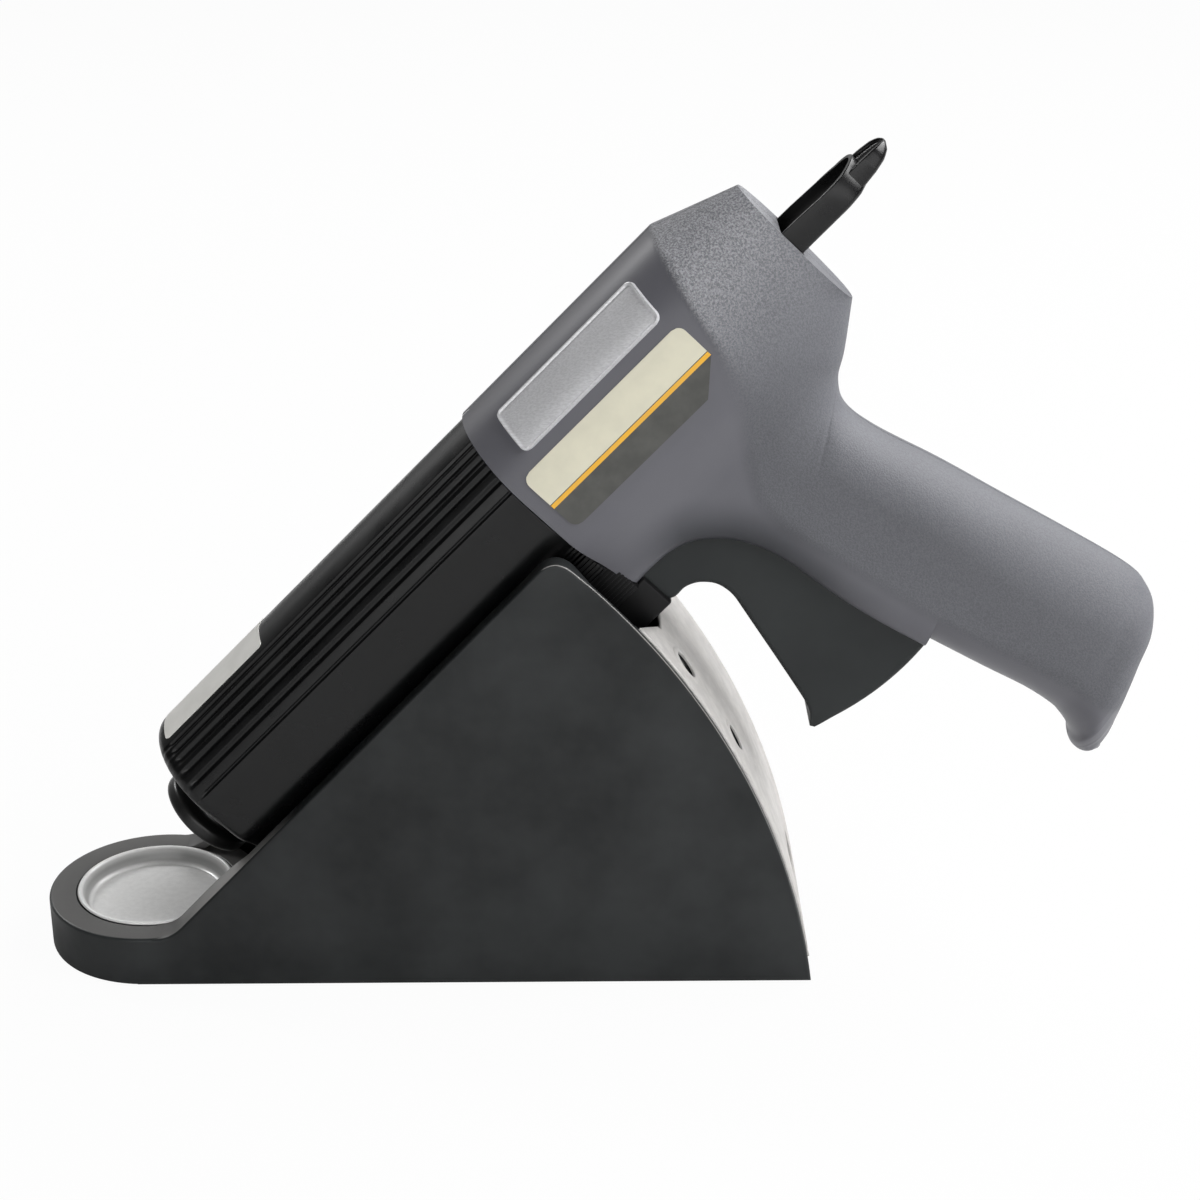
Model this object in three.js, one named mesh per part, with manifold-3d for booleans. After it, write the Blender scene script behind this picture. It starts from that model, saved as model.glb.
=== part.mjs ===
// A cartridge glue gun lying in its stand, as separate pieces in millimetres with +Z up.
// The origin is the middle of the stand's underside. +X runs to the gun's grip, -X to the drip tray.
import * as THREE from 'three';
import * as BufferGeometryUtils from 'three/addons/utils/BufferGeometryUtils.js';
import Module from 'manifold-3d';

const wasm = await Module();
wasm.setup();

// Fits and overruns
const clearance = 0.3;
const overrun = 5;
const weld = 0.0005;
const fineness = 0.002;

// Stand
const standWidth = 68;
const standLength = 243;
const standWall = 2.5;
const footHeight = 16.6;
const footFloor = 5;
const slopeSetback = 9.2;
const slopeDegrees = 46.8;
const topRounding = 8;
const slopeRounding = 6;
const rearArcRadius = 227;
const rearArcDrop = 30;
const flangeWidth = 6.8;

// Drip tray
const trayRadius = 26.6;
const trayWall = 1.1;
const trayLip = 0.9;
const trayRimWidth = 1.8;
const trayFloorRadius = 19;

// Stand's inside
const basePlateThickness = 2;
const baseMargin = 1;
const footPadRadius = 6;
const footPadThickness = 1.6;
const screwHeadRadius = 2.8;
const screwHeadHeight = 1.6;
const screwShankRadius = 1.4;
const screwLength = 9;
const webThickness = 2;
const webGap = 14;
const troughThickness = 1.2;
const troughHeight = 16.2;
const coverThickness = 1.2;
const coverProud = 0.5;
const coverHalfWidth = 31.2;
const coverTop = 120.74;
const coverBottom = 7.55;
const coverNotchHalfWidth = 14.5;
const coverNotchBottom = 107.86;
const coverHoleRadius = 2.6;
const coverHoleOffset = 20;
const coverHoleHeights = [104.36, 80.29];
const ledgeWidth = 4;
const ledgeThickness = 2;
const inletWidth = 20;
const inletHeight = 14;
const inletDepth = 16;
const inletCentreHeight = 24;
const inletFlange = 2.5;
const inletPinRadius = 1.2;
const inletPinSpacing = 8;
const transformerSize = [46, 38, 34];
const transformerCorner = [20, -19];
const boardSize = [94, 44, 1.6];
const boardCorner = [-24, -22];
const boardRelief = 5;

// Place of the gun in the stand: the feed axis at the barrel's front end
const gunDegrees = 46;
const gunFromRear = 182.5;
const gunUp = 52;

// Barrel
const barrelLength = 141;
const barrelRadius = 25;
const barrelCrownRise = 5.5;
const barrelSideDrop = 12;
const barrelBottomRadius = 20.5;
const barrelBottomDrop = 27;
const barrelWall = 2.2;
const barrelFrontWall = 2.4;
const ribDepth = 0.9;
const ribHalfDegrees = 1.7;
const ribDegrees = [38, 45, 52, 59, 66, 74];
const spigotLength = 6;
const spigotWall = 1.8;

// Heel that plugs into the stand
const heelLength = 15;
const heelDepth = 56;
const heelShoulderHalfWidth = 20;
const heelNeckHalfWidth = 12;
const heelBottomRounding = 3;
const heelFinCount = 9;
const heelFinPitch = 2.2;
const heelFinDepth = 0.8;
const heelFinShare = 0.45;
const pinRadius = 2;
const pinLength = 14;
const pinOffset = 6;
const pinDrop = 43;
const contactWall = 0.6;
const socketLength = 21.4;
const socketHalfWidth = 17;
const socketTopDrop = 30;
const socketBottomDrop = 58;

// Heating chamber and cartridge
const cartridgeRadius = 17;
const cartridgeWall = 0.8;
const cartridgeStart = 10;
const cartridgeLength = 95;
const cartridgeOutletRadius = 3;
const chargeLength = 4;
const chamberWall = 2;
const chamberStart = 4;
const chamberFrontWall = 3;
const chamberLength = 104;
const matThickness = 0.8;
const matStart = 14;
const matLength = 80;
const insulationThickness = 1.6;
const supportRingLength = 3;
const nozzleStemRadius = 7;
const nozzleTipRadius = 2.6;
const nozzleBoreRadius = 1.2;
const nozzleReach = 17.5;
const nozzleCollarRadius = 10;
const nozzleCollarLength = 2;
const bootRadius = 15.5;
const bootLength = 4;
const bootReach = 14;
const bootNeckRadius = 10.5;
const bootRounding = 1.6;

// Housing
const seam = 0.6;
const housingLength = 105.9;
const gripDrop = 188;
const housingWall = 2.2;
const housingHalfWidth = 26;
const housingFacetHalfWidth = 25;
const housingFacetShare = 0.72;
const housingEndHalfWidth = 13.5;
const housingCrownShare = 0.168;
const housingEndTopShare = 0.117;
const neckHalfWidth = 16.5;
const sideBottomShare = 0.064;
const neckTopShare = 0.181;
const crownBaseShare = 0.029;
const gripBackRounding = 16;
const gripFrontRounding = 11;
const gripButtRounding = 9;
const guardRounding = 2.5;
const bossRadius = 3.6;
// Outline of the housing: for each station the outer point and the inner point that it is joined to, as
// shares of the housing's length behind its front face and of the grip's drop above the feed axis.
const outlineShares = [
  [0.000, 0.168, 0.000, -0.211],
  [0.249, 0.168, 0.079, -0.209],
  [0.504, 0.168, 0.155, -0.213],
  [0.627, 0.168, 0.221, -0.229],
  [0.750, 0.168, 0.278, -0.259],
  [1.000, 0.117, 0.300, -0.277],
  [1.000, 0.053, 0.315, -0.293],
  [1.000, -0.011, 0.328, -0.309],
  [1.000, -0.074, 0.338, -0.326],
  [1.000, -0.132, 0.345, -0.341],
  [0.863, -0.167, 0.350, -0.355],
  [0.800, -0.202, 0.357, -0.378],
  [0.771, -0.240, 0.366, -0.425],
  [0.795, -0.296, 0.385, -0.494],
  [0.853, -0.426, 0.415, -0.570],
  [0.900, -0.537, 0.462, -0.670],
  [0.943, -0.641, 0.497, -0.745],
  [0.985, -0.736, 0.534, -0.819],
  [1.003, -0.795, 0.550, -0.872],
  [0.998, -0.822, 0.549, -0.896],
  [0.970, -0.850, 0.542, -0.918],
  [0.911, -0.884, 0.530, -0.936],
  [0.818, -0.921, 0.510, -0.952],
  [0.708, -0.960, 0.500, -0.964],
  [0.634, -0.979, 0.502, -0.977],
  [0.589, -0.989, 0.523, -0.986],
];
const endFaceStations = [5, 9];
const gripStation = 12;
const buttStation = 18;
const lipShares = [0.97, 0.9, 0.76, 0.55];
// Places of the sides' points between the outer and the inner end of a station
const chordShares = [0, 0.012, 0.05, 0.12, 0.2, 0.34, 0.5, 0.62, 0.74, 0.84, 0.92, 0.975, 1];
// Screws that join the halves, as shares of the housing's length and of the grip's drop
const screwPlaceShares = [[0.1, 0.135], [0.79, 0.062], [0.9, -0.088], [0.7, -0.4], [0.72, -0.87]];

// Trigger and feed
const pivotShare = [0.325, -0.1755];
const triggerRadius = 86.2;
const triggerHalfWidth = 11.5;
const triggerWall = 2.2;
const pivotPinRadius = 2;
const pivotBossRadius = 5;
const armRadius = 3;
const armHalfWidth = 4;
const armNeckHalf = 1.6;
const armReach = 20;
// Front edge of the trigger from the top of the finger arch to the lip, in the same shares as the housing
const triggerFrontShares = [
  [0.008, -0.190], [0.008, -0.262], [0.024, -0.268], [0.049, -0.276], [0.071, -0.274],
  [0.112, -0.278], [0.144, -0.291], [0.162, -0.311], [0.170, -0.330], [0.157, -0.357],
  [0.091, -0.544], [0.075, -0.565], [0.031, -0.593],
];
// The trigger is hollow from this point of its front edge on
const triggerHollowFrom = 7;
const openingDegrees = [252, 288];
const triggerRearShares = [[0.5326, -0.6187], [0.4618, -0.319], [0.42, -0.18]];
const rodHalfWidth = 8.8;
const rodTop = 5;
const rodBottom = 4;
const rodWall = 2;
const rodReach = 37.5;
const rodFront = 49.3;
const tabLength = 17;
const tabEndHalfWidth = 4.5;
const tabTipTop = 2.6;
const tabTipBottom = 1;
const pusherRadius = 15.7;
const pusherLength = 3;
const clampOverhang = 10;
const clampLength = 20;
const clampHalfWidth = 13;
const clampTop = 9;
const clampBottom = 17;
const clampLugHalfWidth = 5.5;
const clampPlateThickness = 2;
const springRadius = 4;
const springWire = 0.9;
const springTurns = 7;
const springHeight = 16;
const springSectionDegrees = 300;
const shieldThickness = 1.2;
const shieldSetback = 1.8;
const brakeSetback = 55;
const brakeThickness = 2;
const guideLength = 9;
const gunBoardSize = [32, 1.6, 20];
const gunBoardSetback = 58;
const gunBoardTop = 8;
const gunBoardOffset = 10;

// Plates and labels
const badgeThickness = 0.8;
const badgeStartShare = 0.104;
const badgeLengthShare = 0.5335;
const badgeDegrees = [32, 68];
const labelThickness = 0.35;
const labelStartShare = 0.0472;
const labelLengthShare = 0.609;
const labelHeight = 21.6;
const labelTop = 11.3;
const labelBevel = 9;
const ratingStart = 2.5;
const ratingLength = 43;
const ratingDegrees = [-27, 26];

// Colours and finishes
const finishes = {
  black: [0x2c2e2f, 0.5, 0.0],
  grey: [0x6a6b73, 0.55, 0.0],
  trigger: [0x343837, 0.55, 0.0],
  gloss: [0x121314, 0.25, 0.0],
  steel: [0xc8c4c0, 0.2, 1.0],
  aluminium: [0xb4b6b8, 0.3, 1.0],
  brass: [0xb8924a, 0.35, 1.0],
  rubber: [0x1c1c1c, 0.85, 0.0],
  board: [0x2c5a3a, 0.6, 0.0],
  felt: [0xb8b09c, 0.95, 0.0],
  glue: [0xe8e0c4, 0.5, 0.0],
  label: [0xd6d2c0, 0.5, 0.0],
};

// Sizes worked out from the ones above
const halfWidth = standWidth / 2;
const footX = halfWidth - standLength / 2;
const rearX = standLength / 2;
const gunAcross = gunFromRear - rearX;
const arcX = rearX - Math.sqrt(rearArcRadius ** 2 - rearArcDrop ** 2);
const arcZ = -rearArcDrop;
const flangeInner = halfWidth - flangeWidth;
const troughHalfWidth = flangeInner - clearance;
const troughTopZ = -barrelBottomDrop - clearance + troughHeight;
const cheekInner = halfWidth - standWall;
const housingFront = barrelLength + seam;
const housingEnd = housingFront + housingLength;
const pivotX = housingFront + pivotShare[0] * housingLength;
const pivotZ = pivotShare[1] * gripDrop;
const armZ = pivotZ + armReach;
const clampBack = pivotX + clampOverhang;
const badgeStart = badgeStartShare * housingLength;
const badgeLength = badgeLengthShare * housingLength;
const labelStart = labelStartShare * housingLength;
const labelLength = labelLengthShare * housingLength;
const chamberInner = cartridgeRadius + clearance;
const chamberOuter = chamberInner + chamberWall;
const matInner = chamberOuter + clearance;
const insulationInner = matInner + matThickness + clearance;
const insulationOuter = insulationInner + insulationThickness;
const rodEnd = housingEnd + rodReach;
const spigotInner = housingHalfWidth - housingWall - 3 * clearance - spigotWall;

const degrees = (angle) => (angle * Math.PI) / 180;
const coverRadius = rearArcRadius + coverProud;
const coverDegrees = (height) => (Math.asin((height - arcZ) / coverRadius) * 180) / Math.PI;
const coverTopDegrees = coverDegrees(coverTop);
const coverBottomDegrees = coverDegrees(coverBottom);
const coverNotchDegrees = coverDegrees(coverNotchBottom);
const coverHoleDegrees = coverHoleHeights.map(coverDegrees);

// Solids: every geometry is welded and turned outward before it is joined or cut
function solid(geometry) {
  const bare = geometry.clone();
  bare.deleteAttribute('normal');
  bare.deleteAttribute('uv');
  const welded = BufferGeometryUtils.mergeVertices(bare, weld);
  const points = welded.attributes.position.array;
  const corners = welded.index.array;
  const kept = [];
  let volume = 0;
  for (let i = 0; i < corners.length; i += 3) {
    const [a, b, c] = [corners[i], corners[i + 1], corners[i + 2]];
    if (a === b || b === c || c === a) continue;
    kept.push(a, b, c);
    const [p, q, r] = [a, b, c].map((k) => new THREE.Vector3().fromArray(points, k * 3));
    volume += p.dot(q.cross(r));
  }
  if (volume < 0) kept.reverse();
  const mesh = new wasm.Mesh({
    numProp: 3,
    vertProperties: Float32Array.from(points),
    triVerts: Uint32Array.from(kept),
  });
  return new wasm.Manifold(mesh);
}

function geometryOf(body) {
  const mesh = body.getMesh();
  const geometry = new THREE.BufferGeometry();
  geometry.setAttribute('position', new THREE.BufferAttribute(Float32Array.from(mesh.vertProperties), 3));
  geometry.setIndex(new THREE.BufferAttribute(Uint32Array.from(mesh.triVerts), 1));
  geometry.computeVertexNormals();
  return geometry;
}

const join = (first, ...others) => others.reduce((sum, next) => sum.add(next), first);
const cut = (first, ...others) => others.reduce((sum, next) => sum.subtract(next), first);

function shapeOf(points) {
  return new THREE.Shape(points.map(([a, b]) => new THREE.Vector2(a, b)));
}

function extruded(points, depth) {
  return new THREE.ExtrudeGeometry(shapeOf(points), { depth, bevelEnabled: false, steps: 1 });
}

// An outline in X and Z, carried along Y
function sideways(points, low, high) {
  const geometry = extruded(points, high - low);
  geometry.rotateX(Math.PI / 2);
  geometry.translate(0, high, 0);
  return solid(geometry);
}

// An outline in X and Y, carried up along Z
function upright(points, low, high) {
  const geometry = extruded(points, high - low);
  geometry.translate(0, 0, low);
  return solid(geometry);
}

// An outline in Y and Z, carried along X
function lengthways(points, low, high) {
  const geometry = extruded(points, high - low);
  const [x, y, z] = [0, 1, 2].map((k) => new THREE.Vector3().setComponent(k, 1));
  geometry.applyMatrix4(new THREE.Matrix4().makeBasis(y, z, x));
  geometry.translate(low, 0, 0);
  return solid(geometry);
}

function block(x, y, z) {
  const geometry = new THREE.BoxGeometry(x[1] - x[0], y[1] - y[0], z[1] - z[0]);
  geometry.translate((x[0] + x[1]) / 2, (y[0] + y[1]) / 2, (z[0] + z[1]) / 2);
  return solid(geometry);
}

// A profile of [place, radius] pairs turned about an axis: 'x', 'y' or 'z'
function turned(profile, axis = 'x', segments = 28) {
  const loop = [...profile, profile[0]];
  const geometry = new THREE.LatheGeometry(loop.map(([along, r]) => new THREE.Vector2(r, along)), segments);
  if (axis === 'x') geometry.rotateZ(-Math.PI / 2);
  if (axis === 'z') geometry.rotateX(Math.PI / 2);
  return solid(geometry);
}

// A plain cylinder from low to high along an axis
const bar = (radius, low, high, axis = 'x', segments = 16) =>
  turned([[low, 0], [low, radius], [high, radius], [high, 0]], axis, segments);

// A ring from low to high along an axis
const ring = (inner, outer, low, high, axis = 'x', segments = 28) =>
  turned([[low, inner], [low, outer], [high, outer], [high, inner]], axis, segments);

function arc(cx, cz, radius, from, to, steps) {
  const points = [];
  for (let i = 0; i <= steps; i += 1) {
    const angle = degrees(from + ((to - from) * i) / steps);
    points.push([cx + radius * Math.cos(angle), cz + radius * Math.sin(angle)]);
  }
  return points;
}

// Rounds one corner of an outline, between its neighbours
function roundedCorner(before, corner, after, radius, steps = 6) {
  const c = new THREE.Vector2(...corner);
  const toBefore = new THREE.Vector2(...before).sub(c).normalize();
  const toAfter = new THREE.Vector2(...after).sub(c).normalize();
  const half = Math.acos(toBefore.dot(toAfter)) / 2;
  const middle = toBefore.clone().add(toAfter).normalize();
  const centre = c.clone().addScaledVector(middle, radius / Math.sin(half));
  const start = c.clone().addScaledVector(toBefore, radius / Math.tan(half)).sub(centre);
  const end = c.clone().addScaledVector(toAfter, radius / Math.tan(half)).sub(centre);
  const from = start.angle();
  let sweep = end.angle() - from;
  if (sweep > Math.PI) sweep -= 2 * Math.PI;
  if (sweep < -Math.PI) sweep += 2 * Math.PI;
  const points = [];
  for (let i = 0; i <= steps; i += 1) {
    const angle = from + (sweep * i) / steps;
    points.push([centre.x + radius * Math.cos(angle), centre.y + radius * Math.sin(angle)]);
  }
  return points;
}

function roundedBox(x, z, radius, steps = 4) {
  const corners = [[x[0], z[0]], [x[1], z[0]], [x[1], z[1]], [x[0], z[1]]];
  return corners.flatMap((corner, i) =>
    roundedCorner(corners[(i + 3) % 4], corner, corners[(i + 1) % 4], radius, steps));
}

const everything = new THREE.Group();
const gun = new THREE.Group();
gun.position.set(-gunAcross, 0, gunUp);
gun.rotation.y = -degrees(gunDegrees);
everything.add(gun);

// Adds a piece, with the slivers that the cuts leave taken out of it
function add(group, name, body, finish) {
  const [color, roughness, metalness] = finishes[finish];
  const material = new THREE.MeshStandardMaterial({ color, roughness, metalness });
  const mesh = new THREE.Mesh(geometryOf(body.simplify(fineness)), material);
  mesh.name = name;
  group.add(mesh);
}

// A place in the gun's own frame, seen in the stand's frame as [X, Z]
function inStand(x, z) {
  const a = degrees(gunDegrees);
  return [x * Math.cos(a) - z * Math.sin(a) - gunAcross, gunUp + x * Math.sin(a) + z * Math.cos(a)];
}

// A solid of the gun's frame moved to the stand's frame
function toStand(body) {
  const geometry = geometryOf(body);
  geometry.rotateY(-degrees(gunDegrees));
  geometry.translate(-gunAcross, 0, gunUp);
  return solid(geometry);
}

// The slope of the cheeks, its foot and its meeting with the rear arc
const slopeFoot = [footX + slopeSetback, footHeight];
const slopeRun = [Math.cos(degrees(slopeDegrees)), Math.sin(degrees(slopeDegrees))];
function slopeTop(inset) {
  const start = [slopeFoot[0] + inset * slopeRun[1], slopeFoot[1] - inset * slopeRun[0]];
  const across = [start[0] - arcX, start[1] - arcZ];
  const b = across[0] * slopeRun[0] + across[1] * slopeRun[1];
  const c = across[0] ** 2 + across[1] ** 2 - rearArcRadius ** 2;
  const reach = Math.sqrt(b * b - c) - b;
  return [start[0] + reach * slopeRun[0], start[1] + reach * slopeRun[1]];
}

function standShell() {
  const top = slopeTop(0);
  const topAngle = (Math.atan2(top[1] - arcZ, top[0] - arcX) * 180) / Math.PI;
  const bottomAngle = (Math.asin(rearArcDrop / rearArcRadius) * 180) / Math.PI;
  const rear = arc(arcX, arcZ, rearArcRadius, bottomAngle, topAngle, 14);
  const crown = roundedCorner(rear[13], top, slopeFoot, topRounding);
  const toe = roundedCorner(top, slopeFoot, [footX, footHeight], slopeRounding);
  const side = [[footX, 0], ...rear.slice(0, -1), ...crown, ...toe, [footX, footHeight]];
  const body = join(sideways(side, -halfWidth, halfWidth), foot());
  const supports = join(...webs(), socketShelf(), ...coverLedges(), ...baseBosses());
  return join(cut(body, cavity(), traySeat(), troughOpening()), supports);
}

function foot() {
  const edge = footHeight / 12;
  const profile = [[0, 0], [0, halfWidth - edge], [edge, halfWidth], [footHeight, halfWidth], [footHeight, 0]];
  return turnedAt(profile, footX, 48);
}

function turnedAt(profile, x, segments) {
  const loop = [...profile, profile[0]];
  const geometry = new THREE.LatheGeometry(loop.map(([along, r]) => new THREE.Vector2(r, along)), segments);
  geometry.rotateX(Math.PI / 2);
  geometry.translate(x, 0, 0);
  return solid(geometry);
}

// The hollow between the cheeks, open below and behind
function cavity() {
  const low = trayCavityEdge();
  const roof = [slopeFoot[0] + standWall * slopeRun[1], slopeFoot[1] - standWall * slopeRun[0]];
  const far = standLength;
  const rise = (x) => roof[1] + ((x - roof[0]) * slopeRun[1]) / slopeRun[0];
  const outline = [[low, -overrun], [far, -overrun], [far, rise(far)], [low, rise(low)]];
  return sideways(outline, -cheekInner, cheekInner);
}

const trayCavityEdge = () => footX + trayRadius + clearance + standWall;

function traySeat() {
  return turnedAt([[footFloor, 0], [footFloor, trayRadius + clearance], [standLength, trayRadius + clearance],
    [standLength, 0]], footX, 48);
}

// The slot between the flanges, above the underside of the trough
function troughOpening() {
  const under = -barrelBottomDrop - 2 * clearance - troughThickness;
  const start = troughStart();
  const low = inStand(start, under);
  const far = inStand(2 * housingEnd, under);
  const high = inStand(2 * housingEnd, housingLength);
  const outline = [[footX, footHeight], low, far, high, [footX, high[1]]];
  return sideways(outline, -flangeInner, flangeInner);
}

// Where the trough's underside comes out above the foot
function troughStart() {
  const under = -barrelBottomDrop - 2 * clearance - troughThickness;
  const a = degrees(gunDegrees);
  return (footHeight - gunUp - under * Math.cos(a)) / Math.sin(a);
}

// Upright webs across the cavity carry the trough
function webs() {
  const under = -barrelBottomDrop - 3 * clearance - troughThickness;
  const a = degrees(gunDegrees);
  return [0.18, 0.5].map((share) => {
    const x = trayCavityEdge() + share * (rearX - trayCavityEdge()) * 0.8;
    const height = (at) => gunUp + (at + gunAcross) * Math.tan(a) + under / Math.cos(a);
    const outline = [[x, webGap], [x + webThickness, webGap], [x + webThickness, height(x + webThickness)],
      [x, height(x)]];
    return sideways(outline, -cheekInner - standWall / 2, cheekInner + standWall / 2);
  });
}

const socketBack = barrelLength - heelLength - clearance;

function socketShelf() {
  const z = [-socketBottomDrop - clearance - standWall, -socketBottomDrop - clearance];
  const outer = cheekInner + standWall / 2;
  return toStand(block([socketBack - socketLength, socketBack - standWall], [-outer, outer], z));
}

function coverLedges() {
  const high = coverRadius - coverThickness - clearance;
  const outline = [
    ...arc(arcX, arcZ, high, coverBottomDegrees + 1, coverTopDegrees, 12),
    ...arc(arcX, arcZ, high - ledgeThickness, coverTopDegrees, coverBottomDegrees + 1, 12),
  ];
  const outer = cheekInner + standWall / 2;
  const inner = cheekInner - ledgeWidth;
  return [sideways(outline, -outer, -inner), sideways(outline, inner, outer)];
}

const baseX = () => [trayCavityEdge() + clearance, rearX - overrun - baseMargin];
const baseScrewPlaces = () => {
  const [low, high] = baseX();
  const y = cheekInner - 2 * screwHeadRadius - clearance;
  const inset = 3 * screwHeadRadius;
  return [[low + inset, -y], [low + inset, y], [high - inset, -y], [high - inset, y]];
};

// Bosses beside the cheeks that take the base plate's screws
function baseBosses() {
  const from = basePlateThickness + clearance;
  return baseScrewPlaces().map(([x, y]) => {
    const wallY = Math.sign(y) * (cheekInner + standWall / 2);
    const sizes = [[x - bossRadius, x + bossRadius], [Math.min(y, wallY) - (y < 0 ? 0 : bossRadius),
      Math.max(y, wallY) + (y < 0 ? bossRadius : 0)], [from, from + screwLength]];
    const hole = bar(screwShankRadius + clearance, 0, screwLength + 2 * clearance, 'z', 16).translate([x, y, 0]);
    return cut(block(...sizes), hole);
  });
}

function basePlate() {
  const [low, high] = baseX();
  const y = cheekInner - clearance;
  let plate = block([low, high], [-y, y], [0, basePlateThickness]);
  for (const [x, place] of baseScrewPlaces()) {
    const head = bar(screwHeadRadius + clearance, -overrun, screwHeadHeight + clearance, 'z', 20);
    const shank = bar(screwShankRadius + clearance, 0, basePlateThickness + overrun, 'z', 16);
    plate = cut(plate, head.translate([x, place, 0]), shank.translate([x, place, 0]));
  }
  for (const [x, place] of padPlaces()) {
    const recess = bar(footPadRadius + clearance, -overrun, footPadThickness, 'z', 24);
    plate = cut(plate, recess.translate([x, place, 0]));
  }
  for (const x of [boardCorner[0] + bossRadius, boardCorner[0] + boardSize[0] - bossRadius]) {
    for (const side of [-1, 1]) {
      const post = bar(bossRadius, basePlateThickness / 2, basePlateThickness + boardRelief - clearance, 'z', 20);
      plate = join(plate, post.translate([x, side * (boardSize[1] / 2 - bossRadius), 0]));
    }
  }
  return plate;
}

function padPlaces() {
  const [low, high] = baseX();
  const y = cheekInner - footPadRadius - 2 * baseMargin;
  const inset = footPadRadius + 7 * screwHeadRadius;
  return [[low + inset, -y], [low + inset, y], [high - inset, -y], [high - inset, y]];
}

// A screw with its head at the low end of Z
function screw(headHeight, length, headRadius = screwHeadRadius) {
  return turned([[0, 0], [0, headRadius * 0.9], [headHeight * 0.3, headRadius], [headHeight, headRadius],
    [headHeight, screwShankRadius], [length, screwShankRadius], [length, 0]], 'z', 12);
}

function driverSlot(headRadius, depth) {
  const half = headRadius * 0.15;
  const reach = headRadius + clearance;
  return block([-reach, reach], [-half, half], [-overrun, depth]);
}

function trough() {
  const inner = troughHalfWidth - troughThickness;
  const floor = -barrelBottomDrop - clearance;
  const corner = barrelRadius - barrelBottomRadius;
  const outline = [
    [-troughHalfWidth, troughTopZ],
    ...roundedCorner([-troughHalfWidth, troughTopZ], [-troughHalfWidth, floor - troughThickness],
      [0, floor - troughThickness], corner + troughThickness, 4),
    ...roundedCorner([0, floor - troughThickness], [troughHalfWidth, floor - troughThickness],
      [troughHalfWidth, troughTopZ], corner + troughThickness, 4),
    [troughHalfWidth, troughTopZ],
    [inner, troughTopZ],
    ...roundedCorner([inner, troughTopZ], [inner, floor], [0, floor], corner, 4),
    ...roundedCorner([0, floor], [-inner, floor], [-inner, troughTopZ], corner, 4),
    [-inner, troughTopZ],
  ];
  return lengthways(outline, troughStart() + clearance, socketBack - overrun);
}

function rearCover() {
  const innerRadius = coverRadius - coverThickness;
  const sector = (low, high, from, to, steps) => [
    ...arc(arcX, arcZ, low, from, to, steps), ...arc(arcX, arcZ, high, to, from, steps)];
  const sheet = sideways(sector(innerRadius, coverRadius, coverBottomDegrees, coverTopDegrees, 20),
    -coverHalfWidth, coverHalfWidth);
  const notch = sideways(sector(innerRadius - overrun, coverRadius + overrun, coverNotchDegrees,
    coverTopDegrees + 1, 3), -coverNotchHalfWidth, coverNotchHalfWidth);
  const holes = coverHoleDegrees.map((angle) =>
    onCover(bar(coverHoleRadius, -overrun, overrun, 'x', 20), angle, -coverHoleOffset));
  return cut(sheet, notch, ...holes, inletBody(clearance, overrun));
}

// Sets a solid made along X at an angle on the cover's outer face
function onCover(body, angle, y) {
  const geometry = geometryOf(body);
  geometry.rotateY(-degrees(angle));
  const [x, z] = [Math.cos(degrees(angle)), Math.sin(degrees(angle))];
  geometry.translate(arcX + coverRadius * x, y, arcZ + coverRadius * z);
  return solid(geometry);
}

function coverScrew() {
  const headRadius = coverHoleRadius - clearance;
  const length = screwLength * 0.8;
  const body = turned([[-length, 0], [-length, screwShankRadius], [-coverThickness - clearance, screwShankRadius],
    [-coverThickness - clearance, headRadius], [-clearance, headRadius * 0.94], [-clearance, 0]], 'x', 20);
  const slot = block([-clearance - coverThickness / 2, overrun], [-headRadius, headRadius],
    [-headRadius * 0.15, headRadius * 0.15]);
  return cut(body, slot);
}

// The inlet's outer face lies where the cover's outer face meets the inlet's top
const inletX = () => {
  const top = inletCentreHeight + inletHeight / 2;
  return arcX + Math.sqrt(coverRadius ** 2 - (top - arcZ) ** 2);
};

// The inlet's outline carried back from its face, grown by a margin and run on at both ends
function inletBody(margin, extra) {
  const y = [-inletWidth / 2 - margin, inletWidth / 2 + margin];
  const z = [inletCentreHeight - inletHeight / 2 - margin, inletCentreHeight + inletHeight / 2 + margin];
  const outline = roundedBox(y, z, inletHeight * 0.35);
  return lengthways(outline, inletX() - inletDepth - extra, inletX() + extra);
}

function powerInlet() {
  const body = inletBody(0, 0);
  const y = [-inletWidth / 2 + inletFlange, inletWidth / 2 - inletFlange];
  const z = [inletCentreHeight - inletHeight / 2 + inletFlange, inletCentreHeight + inletHeight / 2 - inletFlange];
  const well = lengthways(roundedBox(y, z, inletHeight * 0.25), inletX() - inletDepth * 0.75, standLength);
  const pins = [-1, 1].map((side) => bar(inletPinRadius, inletX() - inletDepth, inletX() - inletFlange, 'x', 16)
    .translate([0, (side * inletPinSpacing) / 2, inletCentreHeight]));
  return join(cut(body, well), ...pins);
}

// The stand's round tray, lying on the floor of its seat
function dripTray() {
  const floor = footFloor + clearance;
  const rim = footHeight + trayLip;
  const profile = [
    [floor, 0], [floor, trayFloorRadius], [floor + trayWall, trayFloorRadius + 2 * trayWall],
    [rim - trayWall, trayRadius - trayRimWidth], [rim - trayWall, trayRadius], [rim - trayWall / 3, trayRadius],
    [rim, trayRadius - trayRimWidth / 3], [rim, trayRadius - trayRimWidth],
    [rim - trayWall / 2, trayRadius - trayRimWidth - trayWall],
    [floor + 2 * trayWall, trayFloorRadius + trayWall], [floor + trayWall, trayFloorRadius - trayWall],
    [floor + trayWall, 0],
  ];
  return turnedAt(profile, footX, 40);
}

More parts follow.
